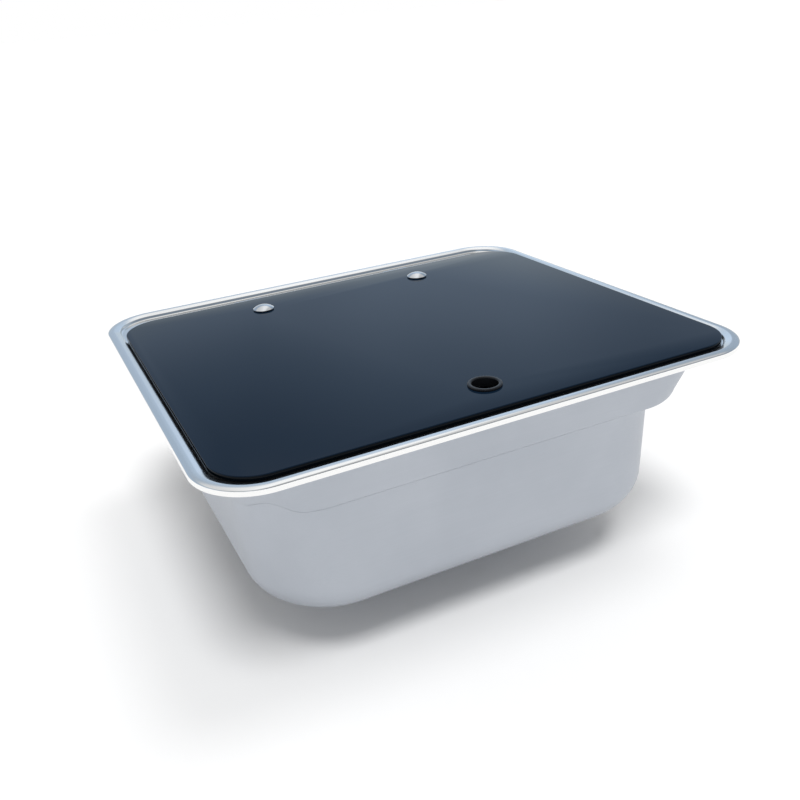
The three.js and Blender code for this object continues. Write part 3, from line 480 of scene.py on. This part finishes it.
def bead_curve():
    """The rim's section from its outer edge to the flange, as [inset, height]: a straight lip,
    a quarter ellipse up to the crest, then a gentle slope, a rounded shoulder, a steep drop
    and a hollow foot."""
    lip = np.array([[0, 0], [0, 0.5], [0, BEAD_LIP]])
    t = arc(0, 90, 12)[1:]
    outer = np.c_[BEAD_CREST_INSET * (1 - np.cos(t)), BEAD_LIP + (BEAD_CREST - BEAD_LIP) * np.sin(t)]
    corners = [outer[-1], [BEAD_CREST_INSET + BEAD_CREST_FLAT, BEAD_CREST], BEAD_SHOULDER,
               [BEAD_FOOT, SHEET], [BEAD_FOOT + BEAD_FOOT_RUN, SHEET]]
    inner = eased(corners, [0, 5, 1.3, 1.2, 0], 8, closed=False)
    return np.concatenate([lip, outer, inner[1:]])


def pressing_rows():
    """The whole section, from the rim's edge over the bead, flange, tray and bowl to the
    waste hole. Each rounding of radius r is r * sin(lean) along and r * (1 - cos(lean)) down."""
    bead = bead_curve()
    slope = np.gradient(bead, axis=0)
    lean = np.arctan2(-slope[:, 1], slope[:, 0])
    lean[:2] = np.radians(-90)
    d, z = bead.T
    rows = [station_rows(RIM, d, d, (RIM_CORNER - d)[:, None], z, z, lean)]

    t = arc(0, 90, 10)
    d = TRAY_MOUTH * np.sin(t)
    z = SHEET - TRAY_MOUTH * (1 - np.cos(t))
    corner = (TRAY_CORNER + TRAY_MOUTH - d)[:, None]
    rows.append(station_rows(inset(TRAY, -TRAY_MOUTH), d, d, corner, z, z, t))

    t = arc(85, 0, 7)
    d, e, down = FOOT_ROUND * (1 - np.sin(t)), FOOT_ROUND_RIGHT * (1 - np.sin(t)), 1 - np.cos(t)
    z, z_right = FOOT_ROUND * down - TRAY_DEPTH, FOOT_ROUND_RIGHT * down - TRAY_DEPTH
    corner = (TRAY_FOOT_CORNER - d)[:, None]
    rows.append(station_rows(TRAY_FOOT, d, e, corner, z, z_right, t, CORNER_LIFT))

    t = arc(0, 85, 7)
    d, e, down = EDGE_ROUND * (np.sin(t) - 1), EDGE_ROUND_RIGHT * (np.sin(t) - 1), 1 - np.cos(t)
    z, z_right = -TRAY_DEPTH - EDGE_ROUND * down, -TRAY_DEPTH - EDGE_ROUND_RIGHT * down
    rows.append(station_rows(BOWL, d, e, BOWL_CORNERS - d[:, None], z, z_right, t, CORNER_LIFT))

    t = arc(87, 0, 16)
    d = FLOOR_ROUND * (1 - np.sin(t))
    z = FLOOR_ROUND * (1 - np.cos(t)) - BOWL_DEPTH
    rows.append(station_rows(BOWL_FOOT, d, d, BOWL_CORNERS - d[:, None], z, z, t))

    # The waste's recess, as radius, height and lean in degrees.
    recess = np.array([
        [34.2, RECESS_TOP + 0.03, 2], [33.2, RECESS_TOP - 0.1, 14], [32.5, RECESS_TOP - 0.5, 40],
        [30.9, RECESS_FLOOR + 0.6, 42], [30.2, RECESS_FLOOR + 0.12, 16], [29.2, RECESS_FLOOR, 0],
        [WASTE_HOLE, RECESS_FLOOR, 0]])
    r, z, lean = recess.T
    middle = np.repeat(WASTE, 2)
    rows.append(station_rows(middle, -r, -r, r[:, None], z, z, np.radians(lean)))
    return np.concatenate(rows)


def pressing_loops(rows, thickness, steps):
    """Points of every station. Moving by the thickness t along the lean shifts a loop out by
    t * sin(lean) and down by t * cos(lean). At a share s of the way over a right corner the
    height has passed s * s * (3 - 2 * s) from the sides' to the right end's, and the left
    corners are lifted by the square of a cosine."""
    edges, radii = rows[:, :4], rows[:, 4:8]
    z_side, z_right, lean, lift = rows[:, 8:].T
    outward = thickness * np.sin(lean)
    edges, radii = inset(edges, -outward), radii + outward[:, None]
    loops = rounded_rectangles(edges, radii, steps)
    x, y = loops[..., 0], loops[..., 1]
    middle_x, middle_y = edges[:, :2].mean(1)[:, None], edges[:, 2:].mean(1)[:, None]
    r = np.where(y < middle_y, radii[:, 1:2], np.minimum(radii[:, 2:3], radii[:, 1:2]))
    share = np.clip((x - edges[:, 1:2] + r) / r, 0, 1)
    share = np.where(x > middle_x, share * share * (3 - 2 * share), 0)
    from_middle = np.abs(np.linspace(0, 1, steps + 1) - 0.5) / (CORNER_LIFT_SPAN / 2)
    bulge = np.where(from_middle < 1, np.cos(np.pi / 2 * from_middle) ** 2, 0)
    raised = np.concatenate([bulge, 0 * bulge, 0 * bulge, bulge])
    z = z_side[:, None] + (z_right - z_side)[:, None] * share + lift[:, None] * raised
    z = z - (thickness * np.cos(lean))[:, None]
    return np.dstack([loops, z])


def sink_pressing():
    """A closed skin: the upper loops run in to the waste hole and the lower ones back out. The
    tap hole is then drilled through the shelf, midway between the corner arcs of the tray's
    foot and the bowl, and the rivet holes with their shallow seats below through the flange."""
    rows, steps = pressing_rows(), 44
    upper, lower = pressing_loops(rows, 0, steps), pressing_loops(rows, SHEET, steps)
    loops = np.concatenate([upper, lower[::-1]])
    upper_faces = (len(rows) - 1) * loops.shape[1]
    skin = shape_mesh("sink_pressing_skin", loops, grid_faces(*loops.shape[:2]), upper_faces)
    away = BOWL[[1, 3]] - BOWL_CORNERS[2]
    towards = TRAY_FOOT[[1, 3]] - TRAY_FOOT_CORNER - away
    apart = np.linalg.norm(towards)
    hole = away + towards / apart * (BOWL_CORNERS[2] + apart + TRAY_FOOT_CORNER) / 2
    drills = [round_tool(*hole, -TRAY_DEPTH, TAP_HOLE, 12)]
    seat = [[0, -1], [RIVET_SEAT, -1], [RIVET_SEAT, RIVET_SEAT_DEPTH], [RIVET_HOLE, RIVET_SEAT_DEPTH],
            [RIVET_HOLE, 2], [0, 2]]
    drills += [turned("rivet_drill", seat, (x, y, 0), steps=48) for x, y in RIVETS]
    return combined(skin, drills, "DIFFERENCE")


put("pressed_sink", sink_pressing(), "sink", "pressed_steel", PRESSED_STEEL_PAINTED_LIGHT, "sink_pressing", sharp=50)


def swept_ring(name, section, edges, corner, steps=28):
    """A closed [inset, height] section carried round a rounded rectangle."""
    d, z = np.asarray(section, float).T
    loops = rounded_rectangles(inset(edges, d), np.repeat((corner - d)[:, None], 4, 1), steps)
    points = np.dstack([loops, np.broadcast_to(z[:, None], loops.shape[:2])])
    return shape_mesh(name, points, grid_faces(*loops.shape[:2]))


def rim_seal():
    """The foam strip in the bead's hollow."""
    section = [[1.2, 0], [1.2, 2.4], [5.1, 3.15], [9.35, 0.9], [10.2, 0]]
    return swept_ring("rim_seal_ring", eased(section, [0.2, 0.8, 1.4, 0.6, 0.2]), RIM, RIM_CORNER)


put("rim_foam", rim_seal(), "sink", "foam_seal", FOAM, "rim_seal")

# ------------------------------------------------------------------ the lid's seal


def lid_seal(x0, x1, keep_back):
    """The rubber strip under the glass, 5 mm wide and round-edged. A block behind the sink's
    middle from x0 to x1 is what is kept or what is taken out."""
    section = eased([[0.5, SHEET], [0.5, GLASS_UNDER], [5.5, GLASS_UNDER], [5.5, SHEET]], 0.35, 4)
    ring = swept_ring("seal_ring", section, GLASS, GLASS_CORNER)
    outline = [[x0, 0], [x1, 0], [x1, 200], [x0, 200]]
    block = prism("seal_cut", outline, "z", -5, 9)
    return combined(ring, [block], "INTERSECT" if keep_back else "DIFFERENCE")


HINGE_ROOM = 12  # half of the gap that the seal leaves at a hinge
put("lid_seal_strip", lid_seal(HINGE_X[0] - HINGE_ROOM, HINGE_X[1] + HINGE_ROOM, False),
    "sink", "black_rubber", BLACK_RUBBER, "lid_seal")
put("lid_seal_short", lid_seal(HINGE_X[0] + HINGE_ROOM, HINGE_X[1] - HINGE_ROOM, True),
    "sink", "black_rubber", BLACK_RUBBER, "lid_seal_back")

# ------------------------------------------------------------------ the glass lid


def glass_pane():
    """The pane: a rounded rectangle stacked along an eased edge, closed by flat faces and
    drilled for the two hinge studs and the finger hole."""
    outline = [[4, GLASS_UNDER], [0, GLASS_UNDER], [0, GLASS_TOP], [4, GLASS_TOP]]
    d, z = eased(outline, 0.55, 4, closed=False)[1:-1].T
    corners = np.repeat((GLASS_CORNER - d)[:, None], 4, 1)
    loops = rounded_rectangles(inset(GLASS, d), corners, 28)
    rows, n = loops.shape[:2]
    points = np.dstack([loops, np.broadcast_to(z[:, None], (rows, n))])
    faces = grid_faces(rows, n, close_rows=False)
    faces += [list(range(n)), list(range((rows - 1) * n, rows * n))]
    drills = [round_tool(x, CAP_Y, 4, STUD_BORE, 20) for x in HINGE_X]
    drills.append(round_tool(*FINGER_HOLE, 4, FINGER_BORE, 20))
    return combined(shape_mesh("pane", points, faces), drills, "DIFFERENCE")


put("glass_pane", glass_pane(), "lid", "smoked_glass", SMOKED_GLASS_PAINTED_REFLECTION, "glass_lid", sharp=12)


def finger_grommet():
    """A sleeve through the glass with a collar whose top is fully rounded."""
    profile = eased(
        [[GROMMET_BORE, GROMMET_FOOT], [GROMMET_SLEEVE, GROMMET_FOOT], [GROMMET_SLEEVE, GLASS_TOP],
         [GROMMET_COLLAR, GLASS_TOP], [GROMMET_COLLAR, GROMMET_TOP], [GROMMET_BORE, GROMMET_TOP]],
        [0.15, 0.15, 0.1, 0.2, 1.1, 1.1], 8)
    return turned("grommet", profile, (*FINGER_HOLE, 0), steps=128)


def finger_ring_nut():
    """The ring that holds the grommet from below, its lower edge eased."""
    inside, outside = GROMMET_SLEEVE + GAP, 13.4
    profile = eased([[inside, GROMMET_FOOT], [outside, GROMMET_FOOT], [outside, GLASS_UNDER],
                     [inside, GLASS_UNDER]], [0.2, 0.5, 0.1, 0.1])
    return turned("grommet_nut", profile, (*FINGER_HOLE, 0), steps=96)


put("finger_grommet", finger_grommet(), "lid", "black_plastic", BLACK_PLASTIC, "finger_collar", sharp=60)
put("grommet_ring_nut", finger_ring_nut(), "lid", "black_plastic", BLACK_PLASTIC, "finger_nut")

# ------------------------------------------------------------------ the lid's hinges


def hinge_button(x):
    """A button with the stud below it, turned from one bar. Its top is a dome cut from a ball
    of radius (cap radius squared + rise squared) / (2 * rise), on a short straight edge."""
    end, dome_foot = LEAF_UNDER - 3.7, CAP_SEAT + CAP_EDGE
    ball = (CAP_RADIUS * CAP_RADIUS + CAP_RISE * CAP_RISE) / (2 * CAP_RISE)
    r = CAP_RADIUS * np.cos(arc(0, 90, 18))
    r[-1] = 0
    dome = np.c_[r, dome_foot + CAP_RISE - ball + np.sqrt(ball * ball - r * r)]
    edge = [[STUD, CAP_SEAT], [CAP_RADIUS - 0.15, CAP_SEAT], [CAP_RADIUS, CAP_SEAT + 0.12]]
    stud = eased([[0, end], [STUD, end], [STUD, CAP_SEAT]], [0, 0.4, 0], 3, False)
    return turned("button", np.concatenate([stud[:-1], edge, dome]), (x, CAP_Y, 0), steps=128)


def glass_bush(x):
    """The flanged sleeve between button and glass."""
    bore, sleeve, flange, foot = STUD + GAP, 3.7, 9, 2.7
    profile = eased([[bore, foot], [sleeve, foot], [sleeve, GLASS_TOP], [flange, GLASS_TOP],
                     [flange, CAP_SEAT], [bore, CAP_SEAT]], [0.1, 0.2, 0.1, 0.15, 0.15, 0.1], 4)
    return turned("bush", profile, (x, CAP_Y, 0), steps=96)


def leaf_plan(x, back):
    """The leaf's plan: straight sides and a half circle about the stud."""
    a = arc(180, 360, 36)
    ends = np.array([[x + LEAF_REACH, back], [x - LEAF_REACH, back]])
    round_end = np.c_[x + LEAF_REACH * np.cos(a), CAP_Y + LEAF_REACH * np.sin(a)]
    return np.concatenate([ends, round_end])


def leaf_pad(x):
    """The thin pad between the glass and the leaf."""
    pad = prism("pad", leaf_plan(x, PAD_END), "z", LEAF_TOP, GLASS_UNDER)
    return combined(pad, [round_tool(x, CAP_Y, 2, STUD + GAP, 8)], "DIFFERENCE")


def about_pivot(radius, angles):
    """Points of a circle about the hinge's pivot, as [y, z]."""
    return np.c_[PIVOT_Y + radius * np.cos(angles), PIVOT_Z + radius * np.sin(angles)]


def hinge_leaf(x):
    """A strip whose end is rolled round the pin: the section is the strip, then an outer and an
    inner arc about the pivot. What lies over the plan is kept, and the stud hole is drilled."""
    around = arc(-90, 208, 40)
    outer, inner = about_pivot(EYE_OUTER, around), about_pivot(EYE_INNER, around)[::-1]
    section = np.concatenate([[[100, LEAF_UNDER]], outer, inner, [[100, LEAF_TOP]]])
    strip = prism("strip", section, "x", x - LEAF_REACH, x + LEAF_REACH)
    kept = combined(strip, [prism("plan", leaf_plan(x, 170), "z", -3, 12)], "INTERSECT")
    return combined(kept, [round_tool(x, CAP_Y, 2, STUD + GAP, 8)], "DIFFERENCE")


def clamp_nut(x):
    """A six-sided nut, its corners turned down to a cone above and below."""
    a = arc(0, 300, 5)
    hexagon = np.c_[x + 4.9 * np.cos(a), CAP_Y + 4.9 * np.sin(a)]
    nut = prism("nut", hexagon, "z", LEAF_UNDER - 3.2, LEAF_UNDER)
    cone = [[0, -2.0], [4.4, -2.0], [5.2, -1.5], [5.2, 0.9], [4.6, 1.2], [0, 1.2]]
    round_off = turned("nut_cone", cone, (x, CAP_Y, 0), steps=96)
    nut = combined(nut, [round_off], "INTERSECT")
    return combined(nut, [round_tool(x, CAP_Y, 0, STUD + GAP, 12)], "DIFFERENCE")


def hinge_base(x):
    """A plate with a lug at each end. A lug's outline is a half circle about the pin on
    straight sides, with a step at the back, and is carried along X."""
    top = about_pivot(EYE_OUTER, arc(0, 180, 24))
    back = [[157.5, SHEET], [157.5, BASE_TOP], [156.2, 2.6]]
    outline = np.concatenate([back, top, [[PIVOT_Y - EYE_OUTER, SHEET]]])
    outline = eased(outline, [0, 0.3, 0.8, *[0] * (len(top) + 1)], 4)
    lugs = [prism("lug", outline, "x", x + lug - LUG_HALF, x + lug + LUG_HALF)
            for lug in (-LUG_REACH, LUG_REACH)]
    end = LUG_REACH + LUG_HALF
    edges = np.array([[x - end, x + end, BASE_FRONT, BASE_BACK]])
    plate = rounded_rectangles(edges, np.array([[0.3, 0.3, 3.0, 3.0]]), 12)[0]
    base = combined(prism("base_plate", plate, "z", SHEET, BASE_TOP), lugs, "UNION")
    drills = [round_tool(x + side * RIVET_REACH, RIVET_Y, 1, RIVET_HOLE, 8) for side in (-1, 1)]
    drills.append(round_tool(x, PIVOT_Y, PIVOT_Z, PIN + GAP, 60, "x"))
    return combined(base, drills, "DIFFERENCE")


def hinge_pin(x):
    """A pin with a round head at both ends."""
    start, head = LUG_REACH + LUG_HALF + GAP, 1.6
    end = start + 0.9
    half = eased([[PIN, start], [head, start], [head, end], [0, end]], [0.05, 0.1, 0.5, 0], 5, False)
    mirrored = half[::-1] * [1, -1]
    return turned("pin", np.concatenate([mirrored, half]), (x, PIVOT_Y, PIVOT_Z), "x", 48)


def base_rivet(x):
    """A rivet: a spherical head, the shank and a tail set flush in the flange's underside."""
    t = arc(0, 90, 8)
    head = np.c_[3.0 * np.cos(t), BASE_TOP + 0.9 * np.sin(t)]
    head[-1, 0] = 0
    shank = RIVET_HOLE - GAP
    tail = [[0, 0.05], [RIVET_SEAT - GAP, 0.05], [RIVET_SEAT - GAP, RIVET_SEAT_DEPTH],
            [shank, RIVET_SEAT_DEPTH], [shank, BASE_TOP]]
    tail = eased(tail, [0, 0.15, 0.1, 0, 0], 3, False)
    return turned("rivet", np.concatenate([tail, head]), (x, RIVET_Y, 0), steps=48)


for side, x in zip(("left", "right"), HINGE_X):
    inward = 1 if x < 0 else -1
    put(f"hinge_button_{side}", hinge_button(x), "lid", "polished_steel", POLISHED_STEEL,
        f"hinge_cap_{side}", sharp=50)
    put(f"button_bush_{side}", glass_bush(x), "lid", "black_plastic", BLACK_PLASTIC,
        f"glass_bush_{side}")
    put(f"hinge_pad_{side}", leaf_pad(x), "lid", "fibre_pad", FIBRE, f"leaf_pad_{side}")
    put(f"rolled_leaf_{side}", hinge_leaf(x), "lid", "brushed_steel", BRUSHED_STEEL,
        f"hinge_leaf_{side}", ease=0.12)
    put(f"stud_nut_{side}", clamp_nut(x), "lid", "brushed_steel", BRUSHED_STEEL,
        f"clamp_nut_{side}", ease=0.1)
    put(f"lug_base_{side}", hinge_base(x), "sink", "brushed_steel", BRUSHED_STEEL,
        f"hinge_base_{side}", ease=0.15)
    put(f"lid_pin_{side}", hinge_pin(x), "sink", "polished_steel", POLISHED_STEEL,
        f"hinge_pin_{side}")
    for place, way in (("inner", inward), ("outer", -inward)):
        put(f"rivet_{side}_{place}", base_rivet(x + way * RIVET_REACH), "sink", "brushed_steel",
            BRUSHED_STEEL, f"base_rivet_{side}_{place}")

# ------------------------------------------------------------------ the waste and its plug

STRAINER_SEAT = RECESS_FLOOR + 1.0
STRAINER_TOP = STRAINER_SEAT + 1.0
STRAINER_FLOOR = STRAINER_TOP - 11.0
CUP_TOP = RECESS_FLOOR - SHEET - 2.0
CUP_FLOOR = CUP_TOP - 34.0
CUP_SHEET = 2.4
CUP_BORE = 21.8
CUP_FLANGE = 28.0
SPOUT_RADIUS, SPOUT_BORE = 12.7, 10.0
SPOUT_Z = CUP_FLOOR + CUP_SHEET + SPOUT_BORE
SPOUT_END = WASTE[1] + 56.0
STRAINER_FLANGE = 28.6
SCREW_HOLE = 3.3


def washer(name, flange, z0, z1):
    """A flat ring with eased edges round the waste hole, its radius 0.8 mm inside its flange's."""
    edge = flange - 0.8
    profile = eased([[CUP_BORE, z0], [edge, z0], [edge, z1], [CUP_BORE, z1]], 0.25, 4)
    return turned(name, profile, (*WASTE, 0), steps=96)


def strainer():
    """A spun dish with eight drain holes in a circle."""
    z, seat, top = STRAINER_FLOOR, STRAINER_SEAT, STRAINER_TOP
    profile = eased(
        [[SCREW_HOLE, z - 1], [17.2, z - 1], [19.2, z + 1], [20.2, seat - 1], [21.2, seat],
         [STRAINER_FLANGE, seat], [STRAINER_FLANGE, top], [20.6, top], [19.2, seat - 0.8],
         [18.2, z + 2], [16.6, z], [SCREW_HOLE, z]],
        [0.1, 1.5, 1.5, 0.8, 0.4, 0.1, 0.5, 0.9, 1.0, 2.0, 1.0, 0.3], 5)
    dish = turned("dish", profile, (*WASTE, 0), steps=128)
    a = arc(0, 315, 7)
    centres = WASTE + 11.5 * np.c_[np.cos(a), np.sin(a)]
    holes = [round_tool(*centre, z, 2.6, 6) for centre in centres]
    return combined(dish, holes, "DIFFERENCE")


def waste_cup():
    """The cup and its post, with the barbed hose tail added and bored out."""
    z, top, sheet = CUP_FLOOR, CUP_TOP, CUP_SHEET
    post = STRAINER_FLOOR - 1 - GAP
    profile = eased(
        [[0, z], [20.2, z], [24.2, z + 4], [24.2, top - 3], [CUP_FLANGE, top - 3], [CUP_FLANGE, top],
         [CUP_BORE, top], [CUP_BORE, z + sheet + 3], [CUP_BORE - 3, z + sheet], [5, z + sheet],
         [5, post], [0, post]],
        [0, 2.5, 2.5, 0.5, 0.5, 0.3, 0.3, 2, 2, 1, 0.4, 0], 5, False)
    cup = turned("cup", profile, (*WASTE, 0), steps=112)
    start = WASTE[1] + 10.9
    barbs = []
    for i in range(3):
        y = SPOUT_END - 24 + 7 * i
        barbs += [[SPOUT_RADIUS, y], [SPOUT_RADIUS + 0.9, y + 0.6], [SPOUT_RADIUS, y + 5.5]]
    outline = [[0, start], [SPOUT_RADIUS, start], *barbs, [SPOUT_RADIUS, SPOUT_END - 1],
               [SPOUT_RADIUS - 0.8, SPOUT_END], [0, SPOUT_END]]
    spout = turned("spout", outline, (WASTE[0], 0, SPOUT_Z), "y", 96)
    room = round_tool(*WASTE, (CUP_TOP + CUP_FLOOR) / 2, CUP_BORE, 68)
    cup = combined(cup, [combined(spout, [room], "DIFFERENCE")], "UNION")
    bore = round_tool(WASTE[0], start + 28, SPOUT_Z, SPOUT_BORE, 56, "y")
    screw = round_tool(*WASTE, post - 8.5, SCREW_HOLE, 19)
    return combined(cup, [bore, screw], "DIFFERENCE")


def waste_screw():
    """A slotted screw with a domed head."""
    seat = STRAINER_FLOOR + GAP
    t = arc(0, 90, 8)
    head = np.c_[6 * np.cos(t), seat + 2 * np.sin(t)]
    head[-1, 0] = 0
    shank = [[0, seat - 17], [2.5, seat - 17], [3, seat - 16.5], [3, seat]]
    screw = turned("screw", np.concatenate([shank, head]), (*WASTE, 0), steps=64)
    outline = WASTE + np.array([[-7, -0.55], [7, -0.55], [7, 0.55], [-7, 0.55]])
    slot = prism("slot", outline, "z", seat + 0.9, seat + 4)
    return combined(screw, [slot], "DIFFERENCE")


PLUG_SEAT = STRAINER_TOP + GAP
PLUG_TOP = PLUG_SEAT + 1.6


def plug_disc():
    """The rubber plug: a tapered body, its lip and the socket for the stem."""
    foot, neck, seat, top = PLUG_SEAT - 6, 18.9, PLUG_SEAT, PLUG_TOP
    profile = eased(
        [[0, foot], [neck - 2, foot], [neck - 0.3, seat], [22.5, seat], [22.5, top], [2.9, top],
         [2.9, top - 4.3], [0, top - 4.3]],
        [0, 0.8, 0.3, 0.3, 0.8, 0.2, 0, 0], 6, False)
    return turned("plug", profile, (*WASTE, 0), steps=112)


def plug_knob():
    """A turned knob on a thin stem, with a collar on the rubber."""
    z = PLUG_TOP
    profile = eased(
        [[0, z - 4], [2.6, z - 4], [2.6, z], [6, z], [6, z + 1.1], [2.6, z + 1.7], [2.6, z + 8],
         [7, z + 8], [7, z + 11.4], [0, z + 11.4]],
        [0, 0.4, 0.05, 0.2, 0.4, 0.9, 0.9, 0.8, 1.4, 0], 7, False)
    return turned("knob", profile, (*WASTE, 0), steps=96)


put("strainer_washer", washer("upper_washer", STRAINER_FLANGE, RECESS_FLOOR, STRAINER_SEAT),
    "sink", "black_rubber", BLACK_RUBBER, "waste_gasket_upper")
put("strainer_dish", strainer(), "sink", "polished_steel", POLISHED_STEEL, "waste_strainer")
put("cup_washer", washer("lower_washer", CUP_FLANGE, CUP_TOP, RECESS_FLOOR - SHEET),
    "sink", "black_rubber", BLACK_RUBBER, "waste_gasket_lower")
put("drain_cup", waste_cup(), "sink", "black_plastic", BLACK_PLASTIC, "waste_cup", ease=0.12)
put("drain_screw", waste_screw(), "sink", "brushed_steel", BRUSHED_STEEL, "waste_screw", ease=0.1)
put("rubber_plug", plug_disc(), "plug", "black_rubber", BLACK_RUBBER, "plug_disc", sharp=50)
put("pull_knob", plug_knob(), "plug", "polished_steel", POLISHED_STEEL, "plug_knob", sharp=50)

# ------------------------------------------------------------------ floor, light and camera


# The world's strength, and its colours: what renders white, and the level that lights surfaces.
STRENGTH = 1.1
WHITE = (0.91, 0.91, 0.91, 1)
PLAIN = (0.43, 0.43, 0.43, 1)

# The sky's colour by the height of the direction, and the brightness of the upright band by
# how far a direction lies beside it, from 0 on its left to 1 on its right.
SKY = [
    (0.05, (0.62, 0.70, 0.76)), (0.17, (0.56, 0.66, 0.75)), (0.30, (0.53, 0.655, 0.82)),
    (0.45, (0.49, 0.62, 0.78)), (0.58, (0.47, 0.57, 0.69)), (0.74, (0.94, 0.95, 0.96))]
BAND = [
    (0.27, [0.70] * 3), (0.40, [0.86] * 3), (0.46, [1.0] * 3), (0.54, [1.0] * 3), (0.64, [0.62] * 3)]
BAND_NORMAL = (0.866, -0.5, 0)

FLOOR_REACH = 60  # metres
FLOOR_GAP = 0.0004

# The suns: the direction that each comes from, and its strength.
SUNS = {"key": ((-0.10, -0.42, 1.0), 1.6), "fill": ((0.30, -0.05, 1.0), 0.55)}
SUN_ANGLE = np.radians(20.0)

# The photograph's camera: its place in metres, its turn from the front, how far it looks down
# and its tilt in degrees, its picture's width and focal length in pixels, and by how much of
# the picture its middle is moved.
CAMERA_PLACE = (-0.2777, -0.5939, 0.2463)
CAMERA_ANGLES = (-23.33, 24.84, -4.74)
PICTURE_WIDTH, FOCAL_LENGTH = 800, 847.98
PICTURE_SHIFT = (0.0278, -0.0004)
SENSOR = 36.0


def studio_floor():
    """A wide white floor just under the lowest point of the part."""
    low = CAD_BOX[0][2] - FLOOR_GAP
    mesh = bpy.data.meshes.new("floor")
    corners = [(x * FLOOR_REACH, y * FLOOR_REACH, low) for x, y in ((-1, -1), (1, -1), (1, 1), (-1, 1))]
    mesh.from_pydata(corners, [], [(0, 1, 2, 3)])
    material = bpy.data.materials.new("studio floor")
    material.use_nodes = True
    shader = next(n for n in material.node_tree.nodes if n.type == "BSDF_PRINCIPLED")
    shader.inputs["Base Color"].default_value = (0.97, 0.97, 0.97, 1)
    shader.inputs["Roughness"].default_value = 1.0
    shader.inputs["Specular IOR Level"].default_value = 0.0
    mesh.materials.append(material)
    floor = bpy.data.objects.new("floor", mesh)
    bpy.context.scene.collection.objects.link(floor)


def colour_ramp(tree, source, stops):
    """A ramp of colours over a value, smooth between its stops."""
    ramp = add(tree, "ShaderNodeValToRGB", Fac=source)
    ramp.color_ramp.interpolation = "EASE"
    points = ramp.color_ramp.elements
    while len(points) < len(stops):
        points.new(0.5)
    for point, (position, colour) in zip(points, stops):
        point.position, point.color = position, (*colour, 1)
    return ramp.outputs[0]


def studio_world():
    """Soft even light from all round. The camera sees it white, and metal and glass see it
    white at the horizon with a cool sky above it, whiter overhead. The sky is brighter in a
    broad upright band behind and before the sink, and dimmer on the front side. How far a
    direction lies beside the band is its dot product with the band's level normal."""
    world = bpy.data.worlds.new("studio")
    bpy.context.scene.world = world
    world.use_nodes = True
    tree = world.node_tree
    background = next(n for n in tree.nodes if n.type == "BACKGROUND")
    direction = add(tree, "ShaderNodeTexCoord").outputs["Generated"]
    parts = add(tree, "ShaderNodeSeparateXYZ", Vector=direction).outputs
    beside = of_two(tree, "ShaderNodeVectorMath", {"operation": "DOT_PRODUCT"}, direction,
                    BAND_NORMAL)["Value"]
    sky = colour_ramp(tree, parts["Z"], SKY)
    band = colour_ramp(tree, ranged(tree, beside, -1.0, 1.0), BAND)
    front = ranged(tree, parts["Y"], -0.5, 0.1, 0.55)
    for part in (band, front):
        sky = of_two(tree, "ShaderNodeVectorMath", {"operation": "MULTIPLY"}, sky, part)["Vector"]
    haze = ranged(tree, parts["Z"], 0.04, 0.09, 1.0, 0.0)
    rays = add(tree, "ShaderNodeLightPath").outputs
    mirrored = of_two(tree, "ShaderNodeMath", {"operation": "ADD", "use_clamp": True},
                      rays["Is Glossy Ray"], rays["Is Transmission Ray"])["Value"]
    light = mixed(tree, "RGBA", mirrored, PLAIN, mixed(tree, "RGBA", haze, sky, WHITE))
    shown = mixed(tree, "RGBA", rays["Is Camera Ray"], light, WHITE)
    tree.links.new(shown, background.inputs["Color"])
    background.inputs["Strength"].default_value = STRENGTH


def studio_lamps():
    """Two soft suns: the key high in front, a little to the left, and a fill from the right.
    Glossy reflections leave them out."""
    for name, (towards, energy) in SUNS.items():
        lamp = bpy.data.lights.new(name, "SUN")
        lamp.energy = energy
        lamp.angle = SUN_ANGLE
        sun = bpy.data.objects.new(name, lamp)
        sun.rotation_euler = Vector(towards).to_track_quat("Z", "Y").to_euler()
        sun.visible_glossy = False
        bpy.context.scene.collection.objects.link(sun)


def photo_camera():
    """The photograph's camera. Its backward axis is (sin a * cos e, -cos a * cos e, sin e) for
    the turn a and the look down e, its right one lies level, and both that and the upward one
    are turned about the first by the tilt."""
    azimuth, elevation, tilt = np.radians(CAMERA_ANGLES)
    level = np.cos(elevation)
    back = np.array([np.sin(azimuth) * level, -np.cos(azimuth) * level, np.sin(elevation)])
    right = np.array([np.cos(azimuth), np.sin(azimuth), 0])
    up = np.cross(back, right)
    turned_right = np.cos(tilt) * right + np.sin(tilt) * up
    turned_up = -np.sin(tilt) * right + np.cos(tilt) * up
    lens = bpy.data.cameras.new("camera")
    lens.sensor_width = SENSOR
    lens.lens = FOCAL_LENGTH / PICTURE_WIDTH * SENSOR
    lens.shift_x, lens.shift_y = PICTURE_SHIFT
    lens.clip_end = 200
    camera = bpy.data.objects.new("camera", lens)
    matrix = Matrix(np.c_[turned_right, turned_up, back].tolist()).to_4x4()
    matrix.translation = Vector(CAMERA_PLACE)
    camera.matrix_world = matrix
    bpy.context.scene.collection.objects.link(camera)
    bpy.context.scene.camera = camera


studio_floor()
studio_world()
studio_lamps()
photo_camera()
bpy.context.scene.view_settings.view_transform = "Standard"
